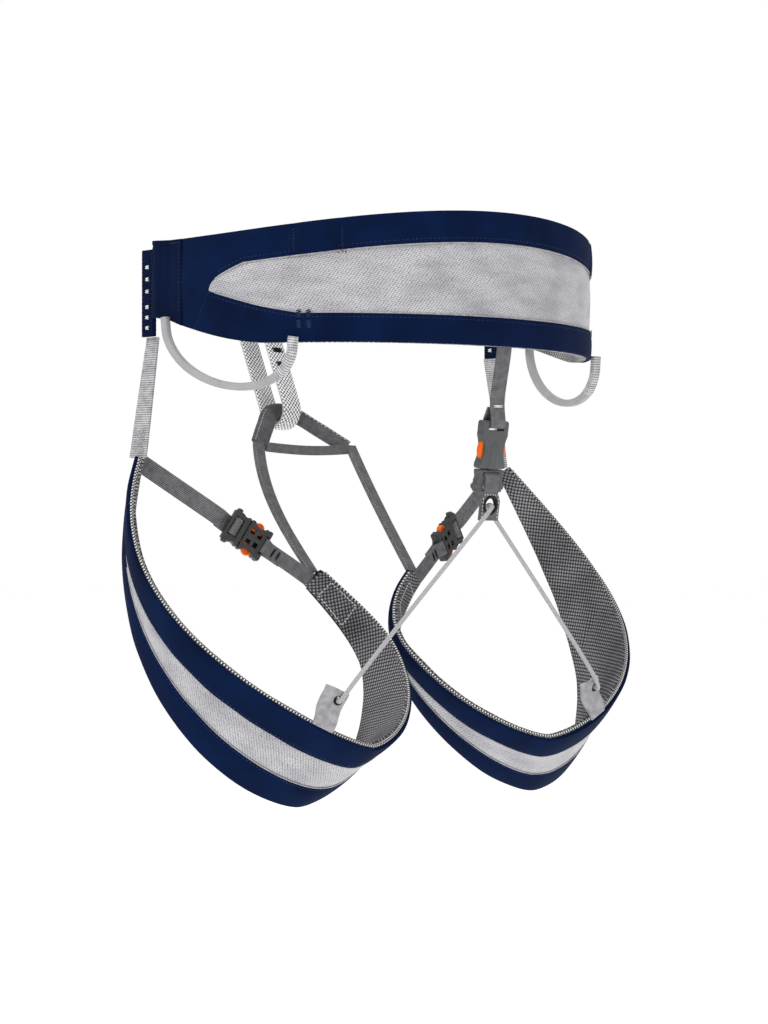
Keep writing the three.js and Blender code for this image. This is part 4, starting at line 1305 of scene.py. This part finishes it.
# ---- risers, adjusters, tie-in straps and their buckles
for side, sign in (("left", 1), ("right", -1)):
    name = side.capitalize()
    turn = 68 if sign > 0 else 292
    riserTop = ring(turn, -52.4, 6.1)
    riserEnd = legPoint(0, 0.5, sign) + Vector((0, 0, 1.4))
    middle = ring(turn, 0, 8.9)

    def sleeveTrack(t, middle=middle):
        return Vector((middle.x, middle.y, 4 - 56 * t))

    body = tubeAlong("riserSleeve" + name, sleeveTrack, 44, 20, 1, oval=(13.5, 3.4),
                     sideAt=lambda u: Vector((0, 1, 0)))
    finishPiece(body, "navyDark", ["riser_sleeve_" + side], angle=60)
    rows = []
    for face in (1, -1):
        out = Vector((face, 0, 0))
        for edge in (-5.2, 5.2):
            for i in range(18):
                rows.append((sleeveTrack((i + 1) / 19.5) + Vector((0, edge, 0)) + out * 1.7, Vector((0, 0,
                        1)), out))
    stitches("sleeveStitches" + name, rows, (1.9, 0.6, 0.6), "navyThread")
    rows = []
    for face in (1, -1):
        out = Vector((face, 0, 0))
        for k, t in enumerate((0.2, 0.34, 0.48, 0.66, 0.78, 0.9)):
            rows += barTack(sleeveTrack(t) + out * 1.72, Vector((0, 0, 1)), Vector((0, 1, 0)), out, 4.2,
                            2.2, 4)
    stitches("sleeveBarTacks" + name, rows, (4.2, 0.7, 0.6), "paleThread")

    def riserTrack(t, a=riserTop, b=riserEnd):
        return a.lerp(b, t)

    def riserSide(t, sign=sign):
        return Vector((-0.45 * sign * t, 1 - 0.11 * t, 0)).normalized()

    body = webbing("riser" + name, riserTrack, riserSide, strapSet["wide"], strapSet["thick"], 90, rim=0.45)
    finishPiece(body, "webbingLight", ["riser_" + side])
    rows = []
    for face in (1, -1):
        for k in range(3):
            t = 0.8 + 0.07 * k
            along = (riserEnd - riserTop).normalized()
            out = riserSide(t).cross(along).normalized() * face
            rows += barTack(riserTrack(t) + out * 0.95, along, riserSide(t), out, 9.5, 4.4, 8)
    stitches("riserBarTacks" + name, rows, (8.2, 0.6, 0.5), "greyThread")

    # adjuster webbing, buckle
    centre = Vector((87 * sign, -23, -178))
    webStart = legPoint(0, 1, sign) + Vector((-3.2 * sign, 0, 0))
    innerWay = (legPoint(1, 0.5, sign) - legPoint(0.99, 0.5, sign)).normalized()
    innerAcross = (legPoint(1, 1, sign) - legPoint(1, 0, sign)).normalized()
    endFace = innerAcross.cross(innerWay).normalized()
    if endFace.y < 0:
        endFace = -endFace
    webEnd = legPoint(1, 0.66, sign) + innerWay * 2 + endFace * 1.9
    direction = (webEnd - webStart).normalized()
    middle = webStart + direction * (centre - webStart).dot(direction)
    face = Vector((0.35 * sign, 0.93, 0.1))
    face = (face - direction * face.dot(direction)).normalized()
    matrix = frameAt(middle, direction, face)
    at = inFrame(matrix)
    sideways = direction.cross(face).normalized()
    placeBuckle("leg_buckle_" + side, "legBuckle" + name, matrix, False, "plastic")
    outerTrack = splineTrack([webStart, webStart.lerp(at(-22, 0, -0.4), 0.5), at(-24, 0, -0.6), at(-17.5, 0,
                                                                                                   -2.6),
                              at(-14.2, 0, -3.5), at(-12.4, 0, -1.2), at(-11.6, 0, 2.6), at(-9.8, 0, 3.6),
                              at(-8.0, 0, 2.4),
                              at(-7.4, 0, -2.0), at(-9, 0, -3.9), at(-13, 0, -4.9), at(-22, 0, -3.2)])
    body = webbing("legWebbingOuter" + name, outerTrack, lambda u, s=sideways: s, strapSet["wide"], 1.1, 150,
                   rim=0.35,
                   edge=0.08)
    finishPiece(body, "webbing", ["leg_web_outer_" + side])
    innerTrack = splineTrack([at(30, 0, -1.6), at(20, 0, -1.7), at(15.8, 0, -2.2), at(13.4, 0, -3.6), at(12.5,
            0, 0), at(13.6, 0, 3.7),
                              at(16, 0, 2.2), at(20, 0, 0.2), webEnd.lerp(at(20, 0, 0.2), 0.5),
                              webEnd + innerWay * -2.5])
    body = webbing("legWebbingInner" + name, innerTrack, lambda u, s=sideways: s, strapSet["tie"], 1.3, 120,
                   rim=0.4,
                   edge=0.08)
    finishPiece(body, "webbingPlain", ["leg_web_inner_" + side])
    rows = []
    for k in range(2):
        rows += barTack(at(21.5 + 4 * k, 0, 1.0), direction, sideways, face, 7.5, 1.4, 3)
    stitches("legWebbingTacks" + name, rows, (7.0, 0.6, 0.5), "darkThread")

    tieStart = Vector((40.6 * sign, corner["y"] + 1.6, corner["z"] + 1.5))
    tieEnd = legPoint(1, 0.34, sign) + innerWay * 2.6 - endFace * 1.1
    tieSide = (tieEnd - tieStart).cross(Vector((-0.1, 0.95, 0.2))).normalized()
    bow = (tieEnd - tieStart).cross(tieSide).normalized()
    sag = Vector((5.2, -4.6, -1)) if sign > 0 else bow * 1.2

    def tieTrack(t, a=tieStart, b=tieEnd, sag=sag):
        return a.lerp(b, t) + sag * math.sin(math.pi * t ** 0.85)

    body = webbing("tieInStrap" + name, tieTrack, lambda u, s=tieSide: s, strapSet["tie"], 1.6, 90, rim=0.5,
                   edge=0.22)
    finishPiece(body, "webbingPlain", ["tie_in_strap_" + side])
    rows = []
    for i in range(42):
        t = (i + 2.5) / 45
        for way in (1, -1):
            rows.append((tieTrack(t) + tieSide * 3.6 + bow * way * 0.95, tieEnd - tieStart, bow * way))
    stitches("tieInStitches" + name, rows, (1.6, 0.55, 0.45), "greyThread")
print("straps made")


# ---- drop-seat strap, its buckle, eyelet tab and elastic cord
rearWay = Vector((0, -0.16, -1)).normalized()
rearCentre, rearFace = Vector((0, 116, -135.5)), Vector((0, 1, -0.16)).normalized()
rearFrame = frameAt(rearCentre, -rearWay, rearFace)
rearAt = inFrame(rearFrame)
placeBuckle("rear_buckle", "rearBuckle", rearFrame, True, "plasticSmooth", 1.15, 1.9)
rearTrack = splineTrack([Vector((0, 130.5, -58)), Vector((0, 129, -68)), rearAt(43, 0, 1.0), rearAt(31, 0,
        3.4), rearAt(27, 0, 4.5),
                         rearAt(24.6, 0, 3.2), rearAt(24.4, 0, 0), rearAt(25.6, 0, -3.6), rearAt(29, 0, -3.4),
                         rearAt(37, 0, -0.7)])
body = webbing("rearStrap", rearTrack, lambda u: Vector((1, 0, 0)), strapSet["wide"], 1.3, 120, rim=0.4)
finishPiece(body, "webbingPlain", ["rear_strap"])
rows = barTack(rearAt(38, 0, 2.6), Vector((0, 0, 1)), Vector((1, 0, 0)), Vector((0, 1, 0)), 10, 1.6, 3)
stitches("rearStrapTack", rows, (9.0, 0.7, 0.6), "paleThread")

eyeletTop = rearCentre + rearWay * 5.5 + rearFace * 4.2
eyeletLow = eyeletTop + rearWay * ((eyeletTop.z + 171) / -rearWay.z)
upWay = (eyeletTop - eyeletLow).normalized()
eyeletFrame = Matrix((Vector((1, 0, 0)), upWay, Vector((1, 0, 0)).cross(upWay))).transposed().to_4x4()
eyeletFrame.translation = eyeletLow
eyeletAt = inFrame(eyeletFrame)
eyeletLength = (eyeletTop - eyeletLow).length
eyelet = {"width": 16, "neck": 11.2, "thick": 2.0, "hole": 5.2, "up": 10}


def eyeletWide(y):
    return eyelet["neck"] + (eyelet["width"] - eyelet["neck"]) * smooth((eyeletLength - 11 - y) / 7)


def placeEyelet(u, row):
    y = (eyeletLength + 1.4) * u
    x = (row / 10 - 0.5) * eyeletWide(y)
    z = 4.2 * smooth((y - eyeletLength + 1.6) / 3)
    return Vector((x, y, z)), (y, x)


body = clothLayer("eyeletTab", 60, 10, placeEyelet, lambda p: Vector((0, 0, 1)), -1, 1, rim=0.5)
combine(body, "DIFFERENCE", drum("hole", (0, 10, 0), 5.2, 8, 40))
settle(body, eyeletFrame)
finishPiece(body, "webbingPlain", ["eyelet_tab"])
rows = []
for zFace in (1.05, -1.05):
    out = eyeletFrame.to_3x3() @ Vector((0, 0, 1 if zFace > 0 else -1))
    for i in range(6):
        rows.append((eyeletAt(-5.5 + 2.2 * i, 16.6, zFace), eyeletAt(1, 0, 0) - eyeletAt(0, 0, 0), out))
        for x in (-6.6, 6.6):
            rows.append((eyeletAt(x, 2.4 + 2.3 * i, zFace), eyeletAt(0, 1, 0) - eyeletAt(0, 0, 0), out))
stitches("eyeletStitches", rows, (1.5, 0.6, 0.5), "paleThread")


def grommetRing(name, matrix, hole, wide, thick, finish, nodes=()):
    bpy.ops.object.select_all(action="DESELECT")
    bpy.ops.mesh.primitive_torus_add(major_radius=(hole + wide) / 2 * mm, minor_radius=(wide - hole) / 2 * mm,
                                     major_segments=48,
                                     minor_segments=14)
    ringPiece = bpy.context.object
    ringPiece.name = ringPiece.data.name = name
    ringPiece.data.transform(Matrix.Diagonal((1, 1, thick / (wide - hole), 1)))
    settle(ringPiece, matrix)
    return finishPiece(ringPiece, finish, nodes, angle=60)


grommetRing("eyeletGrommet", eyeletFrame @ Matrix.Translation((0, 10, 0)), 4.1, 6.7, 3.9, "black",
            ["eyelet_grommet"])

# rear tabs: doubled tape on the leg loops' upper edges, each with an eye for the cord
holes = {}
for side, sign in (("left", 1), ("right", -1)):
    name = side.capitalize()
    foot = legPoint(0.5, 0, sign)
    alongEdge = (legPoint(0.52, 0, sign) - legPoint(0.48, 0, sign)).normalized()
    lean = Vector((0, 0.05, 1))
    lean = (lean - alongEdge * lean.dot(alongEdge)).normalized()
    normal = alongEdge.cross(lean).normalized()
    if normal.y < 0:
        normal = -normal
    x = lean.cross(normal).normalized()
    matrix = Matrix((x, lean, normal)).transposed().to_4x4()
    matrix.translation = foot + lean * 1.3
    at = inFrame(matrix)

    def placeTab(u, row, sign=sign):
        y = -1.2 + 26.4 * u
        x = (row / 14 - 0.5) * (15.6 + 1.6 * (u - 0.5) ** 2)
        curl = 3.4 * smooth((-x * 1.0 - 3.0) / 5)
        return Vector((x, y, 1.5 * math.sin(2.6 * u * math.pi) * 0.6 - curl * smooth(u * 2.2))), (y, x)

    body = clothLayer("rearTab" + name, 44, 14, placeTab, lambda p: Vector((0, 0, 1)), -1.1, 1.1, rim=0.6)
    combine(body, "DIFFERENCE", drum("hole", (2.5, 19, 0), 2.4, 12, 32))
    settle(body, matrix)
    finishPiece(body, "tab", ["rear_tab_" + side])
    grommetRing("rearTabEye" + name, matrix @ Matrix.Translation((2.5, 19, 0)), 1.9, 3.5, 3.3, "black")
    rows = []
    for face in (1.3, -1.3):
        out = normal if face > 0 else -normal
        for i in range(5):
            rows.append((at(-4 + 2.6 * i, 2.4, face), x, out))
    stitches("rearTabStitches" + name, rows, (1.8, 0.6, 0.5), "greyThread")
    holes[side] = (at(2.5, 19, 0), normal)

eye = eyeletAt(0, 10, 0)
(leftAt, leftOut), (rightAt, rightOut) = holes["left"], holes["right"]
cordPoints = [leftAt - leftOut * 4.5, leftAt, leftAt + leftOut * 4, leftAt.lerp(eye, 0.1) + Vector((0, 5, 2)),
              leftAt.lerp(eye, 0.5) + Vector((0, 3, 0)), Vector((10, eye.y + 6.2, eye.z - 8)), Vector((1,
                      eye.y + 2.8, eye.z - 0.8)),
              Vector((-1, eye.y - 2.8, eye.z - 0.8)), Vector((-10, eye.y - 6.2, eye.z - 8)), rightAt.lerp(eye,
                      0.5) + Vector((0, 3, 0)),
              rightAt.lerp(eye, 0.1) + Vector((0, 5, 2)), rightAt + rightOut * 4, rightAt,
              rightAt - rightOut * 4.5]
body = tubeAlong("elasticCord", splineTrack(cordPoints), 260, 12, 1.4)
finishPiece(body, "cordCover", ["elastic_cord"], angle=80)
for side, (place, out) in holes.items():
    aside = out.orthogonal().normalized()
    over = out.cross(aside)
    knotAt = place - out * 5.0

    def knotTrack(t, knotAt=knotAt, out=out, aside=aside, over=over):
        a = 2 * math.pi * t
        return knotAt + (aside * (math.sin(a) + 2 * math.sin(2 * a)) + over
                         * (math.cos(a) - 2 * math.cos(2 * a))) * 0.85 \
            - out * math.sin(3 * a) * 1.1

    finishPiece(tubeAlong("cordKnot" + side.capitalize(), knotTrack, 90, 10, 1.15, closed=True), "cordCover",
                angle=80)


# ---- gear loops: sheathed cord, smooth in front and ribbed tape at the rear end
gear = {"front": 83, "rear": 125, "drop": 37, "radius": 2.9}
for side, sign in (("left", 1), ("right", -1)):
    name = side.capitalize()
    turnTo = (lambda a: a) if sign > 0 else (lambda a: 360 - a)
    stand = belt["shell"] + 0.8 + 0.3 + gear["radius"]
    start = ring(turnTo(gear["front"]), zBottom(gear["front"]) + 2, stand)
    end = ring(turnTo(gear["rear"]), zBottom(gear["rear"]) + 3, stand)
    points = []
    for k in range(13):
        a = math.pi * k / 12
        point = start.lerp(end, (1 - math.cos(a)) / 2)
        points.append(point - Vector((0, 0, gear["drop"] * math.sin(a) ** 0.85)))
    whole = splineTrack(points)
    out = ringOut(turnTo(104))
    body = tubeAlong("gearLoop" + name, lambda t, w=whole: w(0.84 * t), 120, 16, 1, oval=(5.7, 5.0),
                     sideAt=lambda u, o=out: o)
    finishPiece(body, "loopTube", ["gear_loop_" + side], "gear_loop_" + side, angle=60)
    body = tubeAlong("gearLoopTape" + name, lambda t, w=whole: w(0.8 + 0.2 * t), 40, 16, 1, oval=(6.2, 5.6),
                     sideAt=lambda u, o=out: o)
    finishPiece(body, "loopRibbed", (), "gear_loop_" + side, angle=60)
print("cord and gear loops made")


# ---- studio: pale floor, soft boxes
def setStudio():
    bpy.ops.object.select_all(action="DESELECT")
    low = cadBox[0][2] - studio["floorDrop"]
    bpy.ops.mesh.primitive_plane_add(size=studio["floorSize"], location=(0, 0, low))
    floor = bpy.context.object
    floor.name = "studioFloor"
    finish, tree, shader = newFinish("paleStudioFloor", Roughness=0.9)
    shader.inputs["Base Color"].default_value = linear("#ffffff")
    shader.inputs["Emission Color"].default_value = linear("#ffffff")
    shader.inputs["Emission Strength"].default_value = 1 - studio["ambient"]
    floor.data.materials.append(finish)
    world = bpy.data.worlds.new("paleSurround")
    bpy.context.scene.world = world
    world.use_nodes = True
    surround = world.node_tree.nodes["Background"]
    surround.inputs["Color"].default_value = linear(studio["background"])
    seen = addNode(world.node_tree,
                   "ShaderNodeLightPath")  # the backdrop itself stays white, its light is softer
    level = addNode(world.node_tree, "ShaderNodeMapRange", {"Value": seen.outputs["Is Camera Ray"],
                                                            "To Min": studio["ambient"]})
    world.node_tree.links.new(level.outputs["Result"], surround.inputs["Strength"])
    turn = math.radians(viewpoint["azimuth"])
    away = Vector((math.sin(turn), -math.cos(turn), 0))
    right = Vector((math.cos(turn), math.sin(turn), 0))
    up = Vector((0, 0, 1))
    target = Vector((0, 0, -0.15))
    boxes = {"keyBox": (away * 1.4 - right * 1.0 + up * 1.7, 1.2, 22),
             "fillBox": (away * 1.4 + right * 1.6 + up * 0.2, 1.2, 5),
             "topBox": (up * 2.2 - away * 0.2, 1.6, 12), "backBox": (-away * 2.0 + right * 0.4 + up * 0.8,
                                                                     1.5, 3)}
    for name, (place, size, power) in boxes.items():
        bpy.ops.object.light_add(type="AREA", location=target + place,
                                 rotation=place.to_track_quat("Z", "Y").to_euler())
        lamp = bpy.context.object
        lamp.name = name
        lamp.data.size = size
        lamp.data.energy = power


setStudio()
bpy.context.scene.view_settings.view_transform = "Standard"
print("studio set")
